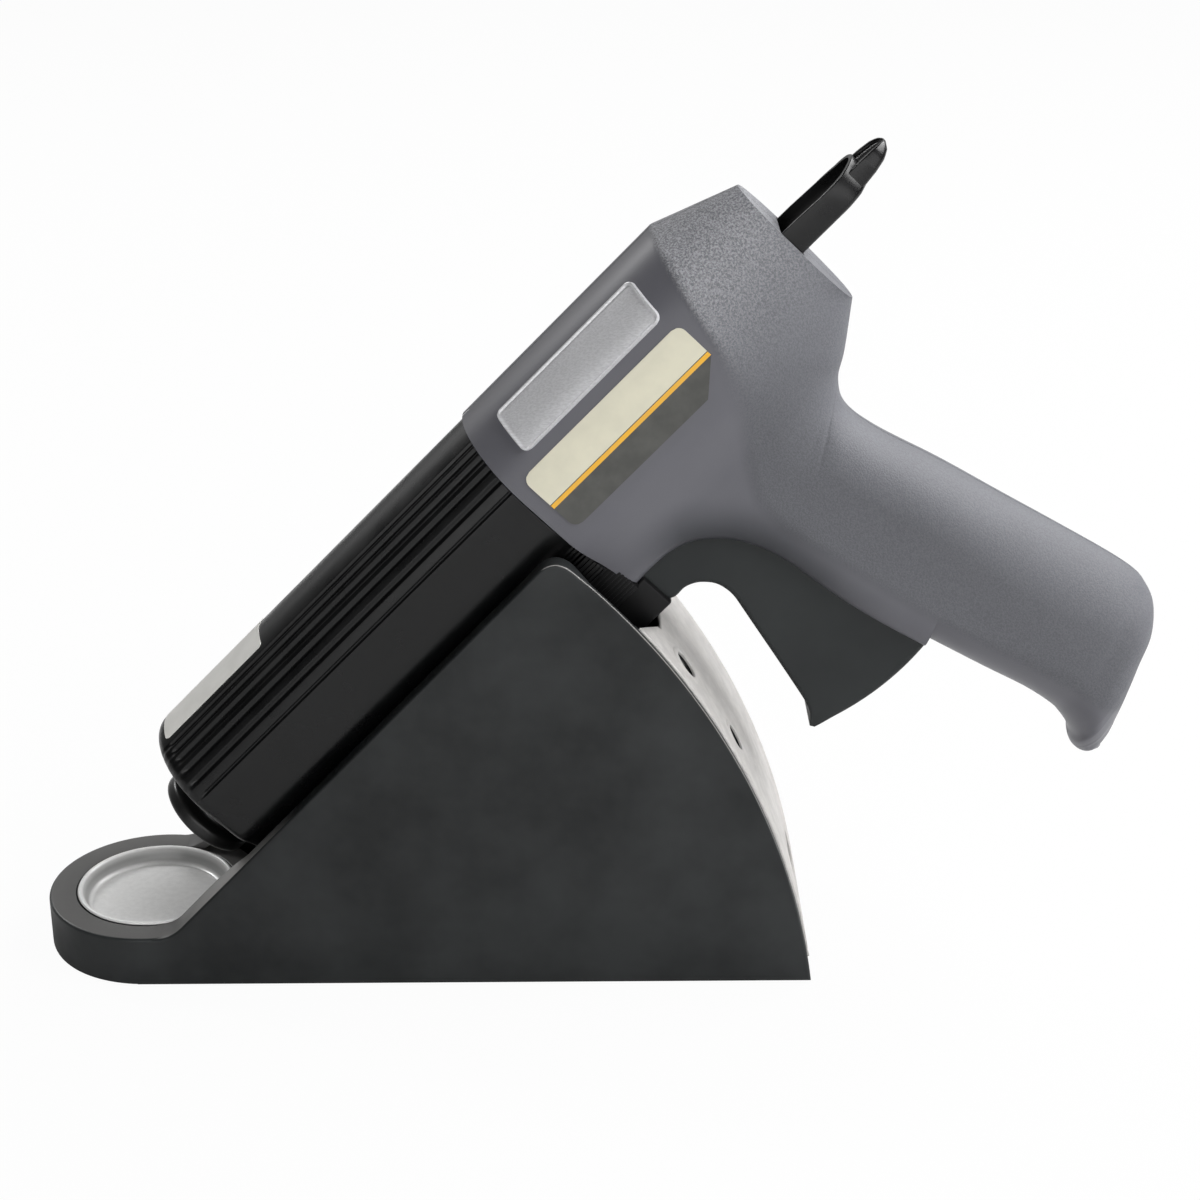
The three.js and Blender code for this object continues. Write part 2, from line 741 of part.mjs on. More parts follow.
function contactSocket() {
  const x = [socketBack - socketLength, socketBack];
  const outline = roundedBox([-socketHalfWidth, socketHalfWidth], [-socketBottomDrop, -socketTopDrop],
    heelBottomRounding);
  let body = lengthways(outline, ...x);
  for (const side of [-1, 1]) {
    const outer = pinRadius + clearance + contactWall + clearance;
    body = cut(body, bar(outer, x[0] + standWall, x[1] + overrun, 'x', 20).translate([0, side * pinOffset, -pinDrop]));
  }
  return body;
}

function socketContact(side) {
  const inner = pinRadius + clearance;
  const low = socketBack - socketLength + standWall + clearance;
  return ring(inner, inner + contactWall, low, socketBack - clearance, 'x', 20)
    .translate([0, side * pinOffset, -pinDrop]);
}

function contactPin(side) {
  const high = socketBack + clearance + pinLength / 2 - clearance;
  return turned([[high - pinLength, 0], [high - pinLength + pinRadius / 2, pinRadius], [high, pinRadius],
    [high, 0]], 'x', 20).translate([0, side * pinOffset, -pinDrop]);
}

// Half of the barrel's outline seen along its axis, from the crown down the near side to the bottom
function barrelOutline(inset) {
  const radius = barrelRadius - inset;
  const crown = arc(0, barrelCrownRise, radius, 90, 180, 16);
  const low = -barrelBottomDrop + inset;
  const bottomHalf = barrelBottomRadius - inset;
  const shoulder = [-radius, -barrelSideDrop];
  const chamfer = [-bottomHalf, -barrelSideDrop - (barrelRadius - barrelBottomRadius)];
  const corner = roundedCorner(chamfer, [-bottomHalf, low], [0, low], bottomHalf * 0.55, 5);
  const near = [...crown, shoulder, chamfer, ...corner];
  const far = near.slice(1).reverse().map(([y, z]) => [-y, z]);
  return [...near, ...far];
}

function barrelSleeve() {
  const outer = lengthways(barrelOutline(0), 0, barrelLength);
  const inner = lengthways(barrelOutline(barrelWall), barrelFrontWall, barrelLength + overrun);
  const noseHole = bar(bootNeckRadius + clearance, -overrun, barrelFrontWall + overrun, 'x', 32);
  const body = cut(outer, inner, noseHole, ...barrelGrooves());
  return join(body, spigot());
}

// Grooves along the crown, on both sides
function barrelGrooves() {
  const angles = [...ribDegrees, ...ribDegrees.map((angle) => -angle)];
  return angles.map((angle) => {
    const at = (radius, offset) => {
      const turn = degrees(90 + angle + offset);
      return [radius * Math.cos(turn), barrelCrownRise + radius * Math.sin(turn)];
    };
    const high = barrelRadius + ribDepth;
    const low = barrelRadius - ribDepth;
    const outline = [at(high, -2 * ribHalfDegrees), at(high, 2 * ribHalfDegrees), at(low, ribHalfDegrees / 2),
      at(low, -ribHalfDegrees / 2)];
    return lengthways(outline, barrelFrontWall, barrelLength + overrun);
  });
}

// The arch behind the barrel that the housing's halves close over
function spigot() {
  const outer = spigotInner + spigotWall;
  const inner = spigotInner;
  const outline = [[outer, -barrelSideDrop], ...arc(0, barrelCrownRise, outer, 0, 180, 20),
    [-outer, -barrelSideDrop], [-inner, -barrelSideDrop], ...arc(0, barrelCrownRise, inner, 180, 0, 20),
    [inner, -barrelSideDrop]];
  return lengthways(outline, barrelLength - barrelWall, barrelLength + spigotLength);
}

function heelOutline(inset) {
  const top = -barrelBottomDrop - clearance;
  const low = -heelDepth + inset;
  const shoulder = heelShoulderHalfWidth - inset;
  const neck = heelNeckHalfWidth - inset;
  const kneeZ = top - (heelDepth - barrelBottomDrop) * 0.42;
  return [[-shoulder * 0.8, top], [-shoulder * 0.8, top - heelBottomRounding], [-neck, kneeZ],
    ...roundedCorner([-neck, kneeZ], [-neck, low], [0, low], heelBottomRounding, 3),
    ...roundedCorner([0, low], [neck, low], [neck, kneeZ], heelBottomRounding, 3),
    [neck, kneeZ], [shoulder * 0.8, top - heelBottomRounding], [shoulder * 0.8, top]];
}

function contactBlock() {
  const front = barrelLength - heelLength;
  const body = lengthways(heelOutline(0), front, barrelLength);
  const holes = [-1, 1].map((side) => bar(pinRadius + clearance, front - overrun, front + pinLength / 2 + clearance,
    'x', 20).translate([0, side * pinOffset, -pinDrop]));
  const fins = [];
  for (let i = 0; i < heelFinCount; i += 1) {
    const z = -barrelBottomDrop - heelBottomRounding - heelFinPitch * (i + 1);
    const half = (heelFinPitch * heelFinShare) / 2;
    for (const side of [-1, 1]) {
      const y = [side * (heelNeckHalfWidth - heelFinDepth), side * (heelShoulderHalfWidth + overrun)];
      fins.push(block([front + overrun, barrelLength + overrun], y.sort((a, b) => a - b), [z - half, z + half]));
    }
  }
  return cut(body, ...holes, ...fins);
}

function nozzle() {
  const front = chamberStart + chamberFrontWall + clearance;
  const back = front + nozzleCollarLength;
  const taper = nozzleReach * 0.35;
  return turned([[-nozzleReach, nozzleBoreRadius], [-nozzleReach, nozzleTipRadius],
    [-nozzleReach + taper, nozzleStemRadius * 0.6], [-nozzleReach + 1.6 * taper, nozzleStemRadius],
    [front, nozzleStemRadius], [front, nozzleCollarRadius], [back, nozzleCollarRadius],
    [back, nozzleBoreRadius * 2]], 'x', 24);
}

function nozzleBoot() {
  const inner = nozzleStemRadius + clearance;
  const back = -bootReach + bootLength;
  return turned([[-bootReach, inner], [-bootReach, bootRadius - bootRounding],
    [-bootReach + bootRounding * 0.3, bootRadius - bootRounding * 0.3], [-bootReach + bootRounding, bootRadius],
    [back - bootRounding / 2, bootRadius], [back, bootRadius - bootRounding / 2], [back, bootNeckRadius],
    [barrelFrontWall - clearance, bootNeckRadius], [barrelFrontWall - clearance, inner]], 'x', 32);
}

function heatingChamber() {
  const end = chamberStart + chamberLength;
  const hole = nozzleStemRadius + clearance;
  return turned([[chamberStart, hole], [chamberStart, chamberOuter], [end, chamberOuter], [end, chamberInner],
    [chamberStart + chamberFrontWall, chamberInner], [chamberStart + chamberFrontWall, hole]]);
}

function glueCartridge() {
  const end = cartridgeStart + cartridgeLength;
  const inner = cartridgeRadius - cartridgeWall;
  return turned([[cartridgeStart, cartridgeOutletRadius], [cartridgeStart, cartridgeRadius * 0.8],
    [cartridgeStart + 2 * cartridgeWall, cartridgeRadius], [end, cartridgeRadius], [end, inner],
    [cartridgeStart + 3 * cartridgeWall, inner], [cartridgeStart + 1.5 * cartridgeWall, cartridgeRadius * 0.75],
    [cartridgeStart + 1.5 * cartridgeWall, cartridgeOutletRadius]]);
}

function glueCharge() {
  const low = cartridgeStart + 3 * cartridgeWall + clearance;
  return bar(cartridgeRadius - cartridgeWall - clearance, low, low + chargeLength, 'x', 28);
}

// Housing: stations run from the front, over the end face and down the grip to the lip of its butt
function station(index, inset) {
  const [ox, oz, ix, iz] = outlineShares[index];
  const place = (x, z) => new THREE.Vector2(housingFront + x * housingLength, z * gripDrop);
  const outer = place(ox, oz);
  const inner = place(ix, iz);
  if (inset === 0) return [outer, inner];
  const shifted = (column, side) => {
    const at = (k) => {
      const row = outlineShares[Math.min(Math.max(k, 0), outlineShares.length - 1)];
      return place(row[column], row[column + 1]);
    };
    const here = at(index);
    const normal = (a, b) => {
      const run = b.clone().sub(a);
      return run.lengthSq() === 0 ? null : new THREE.Vector2(run.y, -run.x).normalize().multiplyScalar(side);
    };
    const before = normal(at(index - 1), here);
    const after = normal(here, at(index + 1));
    const n1 = before ?? after;
    const n2 = after ?? before;
    const mitre = n1.clone().add(n2).normalize();
    return here.clone().addScaledVector(mitre, inset / Math.max(mitre.dot(n1), 0.5));
  };
  return [shifted(0, 1), shifted(2, -1)];
}

const smooth = (t) => t * t * (3 - 2 * t);
const limited = (t) => Math.min(Math.max(t, 0), 1);
const mix = (a, b, t) => a + (b - a) * t;

// Half width of the body at a place, before the grip's edges are rounded
function bodyHalfWidth(x, z) {
  const along = (x - housingFront) / housingLength;
  const rear = limited((along - housingFacetShare) / (1 - housingFacetShare));
  const front = limited(along / housingFacetShare);
  const half = mix(mix(housingHalfWidth, housingFacetHalfWidth, front), housingEndHalfWidth, rear);
  const top = mix(housingCrownShare, housingEndTopShare, rear) * gripDrop;
  const base = crownBaseShare * gripDrop;
  const neck = limited((-sideBottomShare * gripDrop - z) / ((neckTopShare - sideBottomShare) * gripDrop));
  const lower = mix(half, neckHalfWidth, smooth(neck));
  if (z <= base) return lower;
  return half * Math.sqrt(limited(1 - ((z - base) / (top - base)) ** 2));
}

// How much of the width is left near a rounded edge
const edgeShare = (distance, radius) =>
  (distance >= radius ? 1 : Math.sqrt(limited(1 - (1 - distance / radius) ** 2)));

function stationLoop(index, inset) {
  const [outer, inner] = station(index, inset);
  const length = outer.distanceTo(inner);
  const [endTop, endBottom] = endFaceStations;
  const last = outlineShares.length - 1;
  const lip = index > last - lipShares.length ? lipShares[index - (last - lipShares.length) - 1] : 1;
  let backRounding = 0;
  if (index > endBottom) backRounding = gripBackRounding;
  if (index === endBottom) backRounding = gripBackRounding / 3;
  if (index > buttStation) backRounding = gripButtRounding;
  const frontRounding = index > gripStation + 2 ? gripFrontRounding : guardRounding;
  const loop = [[outer.x, 0, outer.y]];
  for (const share of chordShares) {
    const place = outer.clone().lerp(inner, share);
    const fromOuter = share * length;
    const fromInner = (1 - share) * length;
    let half = bodyHalfWidth(place.x, place.y) * lip;
    if (index > endBottom - 1) half *= backRounding ? edgeShare(fromOuter, Math.min(backRounding, length / 2)) : 1;
    half *= edgeShare(fromInner, Math.min(frontRounding, length / 2));
    const flat = index >= endTop && index <= endBottom && share === 0;
    const least = flat ? weld : 0;
    loop.push([place.x, Math.max(half - inset, least), place.y]);
  }
  loop.push([inner.x, 0, inner.y]);
  return loop;
}

// The left or right side of the housing as a loft of its stations, closed at the middle
function housingSide(side, inset) {
  const gap = clearance / 2;
  const rows = outlineShares.map((row, index) => stationLoop(index, inset));
  if (inset > 0) {
    const ahead = rows[0].map(([x, y, z]) => [x - overrun, y, z]);
    rows.unshift(ahead);
    rows.pop();
  }
  const width = rows[0].length;
  const positions = [];
  const indices = [];
  for (const row of rows) for (const [x, y, z] of row) positions.push(x, side * (gap + y), z);
  const corner = (i, j) => i * width + (j % width);
  for (let i = 0; i < rows.length - 1; i += 1) {
    for (let j = 0; j < width; j += 1) {
      indices.push(corner(i, j), corner(i + 1, j), corner(i + 1, j + 1));
      indices.push(corner(i, j), corner(i + 1, j + 1), corner(i, j + 1));
    }
  }
  for (const [i, flip] of [[0, false], [rows.length - 1, true]]) {
    for (let j = 1; j < width - 1; j += 1) {
      const face = [corner(i, 0), corner(i, j), corner(i, j + 1)];
      indices.push(...(flip ? face.reverse() : face));
    }
  }
  const geometry = new THREE.BufferGeometry();
  geometry.setAttribute('position', new THREE.Float32BufferAttribute(positions, 3));
  geometry.setIndex(indices);
  return solid(geometry);
}

const screwPlaces = screwPlaceShares.map(([x, z]) => [housingFront + x * housingLength, z * gripDrop]);
const pinY = (radius, x, z, low, high, segments = 16) => bar(radius, low, high, 'y', segments).translate([x, 0, z]);

// What the trigger sweeps through, with room around it
function triggerOpening() {
  const reach = triggerRadius + 5 * clearance;
  const room = triggerHalfWidth + 2 * clearance;
  const outline = [
    [housingFront - overrun, pivotZ], [housingFront - overrun, pivotZ - reach],
    ...arc(pivotX, pivotZ, reach, ...openingDegrees, 12), [pivotX + reach * 0.31, pivotZ],
  ];
  return sideways(outline, -room, room);
}

function rodWindow(x, margin) {
  return block(x, [-rodHalfWidth - margin, rodHalfWidth + margin], [-rodBottom - margin, rodTop + margin]);
}

function housingHalf(side) {
  const outer = housingSide(side, 0);
  const shell = cut(outer, housingSide(side, housingWall));
  const span = side < 0 ? [-housingHalfWidth - overrun, -clearance / 2] : [clearance / 2, housingHalfWidth + overrun];
  const posts = [...screwPlaces.map(([x, z]) => pinY(bossRadius, x, z, ...span, 16)),
    pinY(pivotBossRadius, pivotX, pivotZ, ...(side < 0 ? [span[0], -pivotBossInner()] : [pivotBossInner(), span[1]]))];
  const bosses = posts.map((post) => post.intersect(outer));
  const holes = screwPlaces.flatMap(([x, z]) => screwHoles(side, x, z));
  const pivotHole = pinY(pivotPinRadius + clearance, pivotX, pivotZ, -pivotPinReach() - clearance,
    pivotPinReach() + clearance);
  const opening = cut(triggerOpening(), bosses[bosses.length - 1]);
  return cut(join(cut(shell, opening), ...bosses), ...holes, pivotHole,
    rodWindow([housingEnd - 2 * housingWall, housingEnd + overrun], clearance));
}

const pivotBossInner = () => triggerHalfWidth + clearance;
const pivotPinReach = () => neckHalfWidth - housingWall / 2;

// The right half has the screws' heads, sunk from its outer face; the left half takes their threads
const headSeat = (x, z) => bodyHalfWidth(x, z) * 0.55;
function screwHoles(side, x, z) {
  const shank = screwShankRadius + clearance;
  if (side < 0) return [pinY(shank, x, z, -headSeat(x, z) - clearance, overrun, 16)];
  return [pinY(shank, x, z, -overrun, housingHalfWidth + overrun, 16),
    pinY(screwHeadRadius + clearance, x, z, headSeat(x, z), housingHalfWidth + overrun)];
}

function housingScrew(x, z) {
  const seat = headSeat(x, z) + clearance;
  const body = join(pinY(screwHeadRadius, x, z, seat, seat + screwHeadHeight, 12),
    pinY(screwShankRadius, x, z, -seat + 2 * clearance, seat + screwHeadHeight / 2, 12));
  const geometry = geometryOf(driverSlot(screwHeadRadius, 0));
  geometry.rotateX(Math.PI / 2);
  geometry.translate(x, seat + screwHeadHeight * 0.5, z);
  return cut(body, solid(geometry));
}

// Trigger: a hollow moulding on a pin, with an arm that pushes the feed clamp
function trigger() {
  const place = ([x, z]) => [housingFront + x * housingLength, z * gripDrop];
  const front = triggerFrontShares.map(place);
  const rear = triggerRearShares.map(place);
  const lip = front[front.length - 1];
  const tail = rear[0];
  const angleOf = ([x, z]) => (Math.atan2(z - pivotZ, x - pivotX) * 180) / Math.PI + 360;
  const sole = arc(pivotX, pivotZ, triggerRadius, angleOf(lip) + 0.8, angleOf(tail), 10);
  const outline = [...front, ...sole, ...rear];
  const inset = (points) => points.map(([x, z]) => {
    const middle = [pivotX, (pivotZ + tail[1]) / 2];
    const run = Math.hypot(x - middle[0], z - middle[1]);
    const share = (run - 2 * triggerWall) / run;
    return [middle[0] + (x - middle[0]) * share, middle[1] + (z - middle[1]) * share];
  });
  const openRear = rear.slice(0, 2).map(([x, z]) => [x + overrun, z]);
  const hollowFront = inset(front.slice(triggerHollowFrom));
  const hollow = [...hollowFront, ...inset(sole), ...openRear];
  const body = cut(sideways(outline, -triggerHalfWidth, triggerHalfWidth),
    sideways(hollow, -triggerHalfWidth + triggerWall, triggerHalfWidth - triggerWall));
  const hub = pinY(pivotBossRadius, pivotX, pivotZ, -triggerHalfWidth, triggerHalfWidth);
  const neck = block([pivotX - armNeckHalf, pivotX + armNeckHalf], [-armHalfWidth, armHalfWidth], [pivotZ, armZ]);
  const knob = pinY(armRadius, pivotX, armZ, -armHalfWidth, armHalfWidth);
  return cut(join(body, hub, neck, knob), pinY(pivotPinRadius + clearance, pivotX, pivotZ, -halfWidth, halfWidth));
}

function feedClamp() {
  const x = [clampBack - clampLength, clampBack];
  const body = block(x, [-clampHalfWidth, clampHalfWidth], [-rodBottom - 2 * rodWall, clampTop]);
  const lug = block([pivotX - armRadius - rodWall - clearance, pivotX + armRadius + rodWall + clearance],
    [-clampLugHalfWidth, clampLugHalfWidth], [-clampBottom, 0]);
  const slot = block([pivotX - armRadius - clearance, pivotX + armRadius + clearance],
    [-halfWidth, halfWidth], [-clampBottom - overrun, armZ + armRadius + 2 * clearance]);
  return cut(join(body, lug), slot, rodWindow([x[0] - overrun, x[1] + overrun], clearance));
}

function framePlate(x, half, low, high) {
  const outline = roundedBox([-half, half], [low, high], rodWall);
  return cut(lengthways(outline, ...x), rodWindow([x[0] - overrun, x[1] + overrun], clearance));
}

function heatShield() {
  const x = housingFront + shieldSetback;
  const half = spigotInner - clearance;
  const outline = [[neckHalfWidth * 0.6, -barrelBottomDrop], [half, -barrelSideDrop * 0.8],
    ...arc(0, barrelCrownRise, half, 0, 180, 14), [-half, -barrelSideDrop * 0.8],
    [-neckHalfWidth * 0.6, -barrelBottomDrop]];
  return cut(lengthways(outline, x, x + shieldThickness), rodWindow([x - overrun, x + overrun], clearance));
}

// A coil spring between the heat shield and the clamp plate
function clampSpring() {
  const front = housingFront + shieldSetback + shieldThickness + clearance;
  const back = clampBack - clampLength - clampPlateThickness - 2 * clearance;
  const run = back - front - springWire * 2;
  class Coil extends THREE.Curve {
    getPoint(t) {
      const angle = 2 * Math.PI * springTurns * t;
      return new THREE.Vector3(front + springWire + run * t, springRadius * Math.sin(angle),
        springHeight + springRadius * Math.cos(angle));
    }
  }
  const section = shapeOf(arc(0, 0, springWire / 2, 0, springSectionDegrees, 5));
  return solid(new THREE.ExtrudeGeometry(section, { steps: springTurns * 8, extrudePath: new Coil(),
    bevelEnabled: false }));
}

function feedRod() {
  const tabStart = rodEnd - tabLength;
  const outer = roundedRod(rodHalfWidth, -rodBottom, rodTop);
  const channel = block([rodFront - overrun, tabStart], [-rodHalfWidth + rodWall, rodHalfWidth - rodWall],
    [-rodBottom + rodWall, rodTop + overrun]);
  const bodyBar = cut(lengthways(outer, rodFront, rodEnd), channel);
  const plan = [[rodFront - overrun, -standWidth], [tabStart, -rodHalfWidth],
    [rodEnd - 3 * tabEndHalfWidth / 2, -tabEndHalfWidth * 1.4], [rodEnd - tabEndHalfWidth / 2, -tabEndHalfWidth],
    [rodEnd, -tabEndHalfWidth / 2], [rodEnd, tabEndHalfWidth / 2], [rodEnd - tabEndHalfWidth / 2, tabEndHalfWidth],
    [rodEnd - 3 * tabEndHalfWidth / 2, tabEndHalfWidth * 1.4], [tabStart, rodHalfWidth],
    [rodFront - overrun, standWidth]];
  const side = [[rodFront - overrun, -rodBottom - overrun], [tabStart, -rodBottom - overrun],
    [tabStart, -rodBottom], [rodEnd, -tabTipBottom], [rodEnd, tabTipTop], [rodEnd - tabLength / 2, rodTop],
    [tabStart, rodTop], [tabStart, rodTop + overrun], [rodFront - overrun, rodTop + overrun]];
  const trim = upright(plan, -standWidth, standWidth).intersect(sideways(side, -standWidth, standWidth));
  return bodyBar.intersect(trim);
}

function roundedRod(half, low, high) {
  return [...roundedCorner([-half, high], [-half, low], [half, low], rodWall * 1.6, 4),
    ...roundedCorner([-half, low], [half, low], [half, high], rodWall * 1.6, 4), [half, high], [-half, high]];
}

function rearGuide() {
  const back = housingEnd - housingWall - clearance;
  return framePlate([back - guideLength, back], rodHalfWidth + 1.5 * rodWall, -rodBottom - 2 * rodWall,
    rodTop + 2 * rodWall);
}

// A thin plate on the side of the housing, made of rows of points on the surface
function skinPlate(xs, zs, gap, thickness) {
  const radial = (x, z, out) => [x, -(bodyHalfWidth(x, z) + out + clearance / 2), z];
  return patch(xs, zs, (x, z, layer) => radial(x, z, gap + layer * thickness));
}

// A closed sheet between two layers of a surface given over a grid
function patch(us, vs, at) {
  const positions = [];
  for (const layer of [0, 1]) for (const u of us) for (const v of vs) positions.push(...at(u, v, layer));
  const count = us.length * vs.length;
  const id = (i, j, layer) => layer * count + i * vs.length + j;
  const indices = [];
  const quad = (a, b, c, d) => indices.push(a, b, c, a, c, d);
  for (let i = 0; i < us.length - 1; i += 1) {
    for (let j = 0; j < vs.length - 1; j += 1) {
      quad(id(i, j, 0), id(i, j + 1, 0), id(i + 1, j + 1, 0), id(i + 1, j, 0));
      quad(id(i, j, 1), id(i + 1, j, 1), id(i + 1, j + 1, 1), id(i, j + 1, 1));
    }
    const last = vs.length - 1;
    quad(id(i, 0, 0), id(i + 1, 0, 0), id(i + 1, 0, 1), id(i, 0, 1));
    quad(id(i, last, 0), id(i, last, 1), id(i + 1, last, 1), id(i + 1, last, 0));
  }
  const end = us.length - 1;
  for (let j = 0; j < vs.length - 1; j += 1) {
    quad(id(0, j, 0), id(0, j, 1), id(0, j + 1, 1), id(0, j + 1, 0));
    quad(id(end, j, 0), id(end, j + 1, 0), id(end, j + 1, 1), id(end, j, 1));
  }
  const geometry = new THREE.BufferGeometry();
  geometry.setAttribute('position', new THREE.Float32BufferAttribute(positions, 3));
  geometry.setIndex(indices);
  return solid(geometry);
}

const spread = (from, to, count) => Array.from({ length: count + 1 }, (_, i) => from + ((to - from) * i) / count);

// The badge follows the crown between two angles from its top
function badgePlate() {
  const base = crownBaseShare * gripDrop;
  const xs = spread(housingFront + badgeStart, housingFront + badgeStart + badgeLength, 8);
  return patch(xs, spread(...badgeDegrees, 8), (x, angle, layer) => {
    const half = bodyHalfWidth(x, base) + clearance + layer * badgeThickness;
    const rise = housingCrownShare * gripDrop - base + clearance + layer * badgeThickness;
    return [x, -half * Math.sin(degrees(angle)) - clearance / 2, base + rise * Math.cos(degrees(angle))];
  });
}

function sideLabel() {
  const xs = spread(housingFront + labelStart, housingFront + labelStart + labelLength, 8);
  const sheet = skinPlate(xs, spread(labelTop - labelHeight, labelTop, 8), clearance, labelThickness);
  const [x, z] = [housingFront + labelStart + labelLength, labelTop - labelHeight];
  const corner = sideways([[x + overrun, z - overrun], [x + overrun, z + labelBevel + overrun],
    [x - labelBevel - overrun, z - overrun]], -standWidth, 0);
  return cut(sheet, corner);
}

function ratingLabel() {
  return patch(spread(ratingStart, ratingStart + ratingLength, 2), spread(...ratingDegrees, 10), (x, angle, layer) => {
    const radius = barrelRadius + clearance + layer * labelThickness;
    const turn = degrees(90 + angle);
    return [x, radius * Math.cos(turn), barrelCrownRise + radius * Math.sin(turn)];
  });
}

// The stand and its tray
add(everything, 'stand_shell', standShell(), 'black');
add(everything, 'base_plate', basePlate(), 'black');
baseScrewPlaces().forEach(([x, y], i) => {
  const body = cut(screw(screwHeadHeight, screwLength), driverSlot(screwHeadRadius, screwHeadHeight / 2));
  add(everything, `base_screw_${i + 1}`, body.translate([x, y, clearance]), 'steel');
});
padPlaces().forEach(([x, y], i) => {
  const pad = bar(footPadRadius, 0, footPadThickness - clearance, 'z', 24);
  add(everything, `rubber_foot_${i + 1}`, pad.translate([x, y, 0]), 'rubber');
});
add(everything, 'rear_cover', rearCover(), 'steel');
coverHoleDegrees.forEach((angle, i) =>
  add(everything, `rear_cover_screw_${i + 1}`, onCover(coverScrew(), angle, -coverHoleOffset), 'gloss'));
add(everything, 'power_inlet', powerInlet(), 'gloss');
const boardTop = basePlateThickness + boardRelief + boardSize[2];
add(everything, 'control_board', block([boardCorner[0], boardCorner[0] + boardSize[0]],
  [boardCorner[1], boardCorner[1] + boardSize[1]], [boardTop - boardSize[2], boardTop]), 'board');
add(everything, 'transformer', block([transformerCorner[0], transformerCorner[0] + transformerSize[0]],
  [transformerCorner[1], transformerCorner[1] + transformerSize[1]],
  [boardTop + clearance, boardTop + clearance + transformerSize[2]]), 'steel');
add(everything, 'drip_tray', dripTray(), 'aluminium');
add(gun, 'cradle_trough', trough(), 'gloss');
add(gun, 'contact_socket', contactSocket(), 'gloss');
[-1, 1].forEach((side, i) => add(gun, `socket_contact_${i + 1}`, socketContact(side), 'brass'));

// The gun
add(gun, 'housing_left', housingHalf(-1), 'grey');
add(gun, 'housing_right', housingHalf(1), 'grey');
screwPlaces.forEach(([x, z], i) => add(gun, `housing_screw_${i + 1}`, housingScrew(x, z), 'steel'));
add(gun, 'barrel_sleeve', barrelSleeve(), 'black');
add(gun, 'contact_block', contactBlock(), 'gloss');
[-1, 1].forEach((side, i) => add(gun, `contact_pin_${i + 1}`, contactPin(side), 'brass'));
add(gun, 'nozzle', nozzle(), 'brass');
add(gun, 'nozzle_boot', nozzleBoot(), 'rubber');
add(gun, 'heating_chamber', heatingChamber(), 'aluminium');
add(gun, 'heating_mat', ring(matInner, matInner + matThickness, matStart, matStart + matLength), 'brass');
add(gun, 'insulation_sleeve', ring(insulationInner, insulationOuter, matStart, matStart + matLength), 'felt');
const ringStart = chamberStart + chamberLength + clearance;
add(gun, 'chamber_support_ring', ring(chamberInner, insulationOuter, ringStart, ringStart + supportRingLength),
  'felt');
add(gun, 'glue_cartridge', glueCartridge(), 'aluminium');
add(gun, 'glue_charge', glueCharge(), 'glue');
add(gun, 'heat_shield', heatShield(), 'steel');
add(gun, 'brake_plate', framePlate([housingFront + brakeSetback, housingFront + brakeSetback + brakeThickness],
  clampHalfWidth, -clampTop, clampTop + rodWall), 'steel');
add(gun, 'rear_guide', rearGuide(), 'gloss');
add(gun, 'gun_control_board', block([housingFront + gunBoardSetback, housingFront + gunBoardSetback + gunBoardSize[0]],
  [gunBoardOffset, gunBoardOffset + gunBoardSize[1]], [-gunBoardTop - gunBoardSize[2], -gunBoardTop]), 'board');
add(gun, 'trigger_pin', pinY(pivotPinRadius, pivotX, pivotZ, -pivotPinReach(), pivotPinReach()), 'steel');
add(gun, 'badge_plate', badgePlate(), 'aluminium');
add(gun, 'side_label', sideLabel(), 'label');
add(gun, 'rating_label', ratingLabel(), 'label');
add(gun, 'trigger', trigger(), 'trigger');
add(gun, 'feed_clamp', feedClamp(), 'steel');
add(gun, 'clamp_plate', framePlate([clampBack - clampLength - clampPlateThickness - clearance,
  clampBack - clampLength - clearance], clampHalfWidth, -clampTop, clampTop + rodWall), 'steel');
add(gun, 'clamp_spring', clampSpring(), 'steel');
add(gun, 'feed_rod', feedRod(), 'gloss');
add(gun, 'pusher', bar(pusherRadius, rodFront - clearance - pusherLength, rodFront - clearance, 'x', 28), 'steel');

export default everything;
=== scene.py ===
"""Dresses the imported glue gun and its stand: finer surfaces, materials, light and camera.

Pieces of the gun are worked out in the gun's own frame, in millimetres: x along the feed axis from
the barrel's front to the rod's end, y across, z up from the axis. The rest is in the stand's frame.
"""
import math

import bmesh
import bpy
import numpy as np
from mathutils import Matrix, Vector


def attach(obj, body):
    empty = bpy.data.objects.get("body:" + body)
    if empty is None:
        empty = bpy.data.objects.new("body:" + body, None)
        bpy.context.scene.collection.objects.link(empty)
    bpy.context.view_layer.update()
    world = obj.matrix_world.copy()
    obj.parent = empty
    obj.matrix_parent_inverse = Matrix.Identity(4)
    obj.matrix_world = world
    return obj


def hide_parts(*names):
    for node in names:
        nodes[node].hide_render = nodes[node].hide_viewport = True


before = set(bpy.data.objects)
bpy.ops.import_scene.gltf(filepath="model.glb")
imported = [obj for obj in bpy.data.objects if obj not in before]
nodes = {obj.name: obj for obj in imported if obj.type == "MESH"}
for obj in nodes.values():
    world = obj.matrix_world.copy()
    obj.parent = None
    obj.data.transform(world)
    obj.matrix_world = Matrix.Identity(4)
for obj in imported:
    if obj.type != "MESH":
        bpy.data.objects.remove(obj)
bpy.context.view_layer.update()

MM = 0.001
LEAN = math.radians(46)
GUN_X, GUN_Z = -61, 52  # where the gun frame's origin stands


# ---------------- camera and light
def aim(obj, place, target):
    """Puts an object at a place and turns its -Z towards a target."""
    obj.location = place
    obj.rotation_euler = (Vector(target) - Vector(place)).to_track_quat("-Z", "Y").to_euler()


def link(obj):
    bpy.context.scene.collection.objects.link(obj)
    return obj


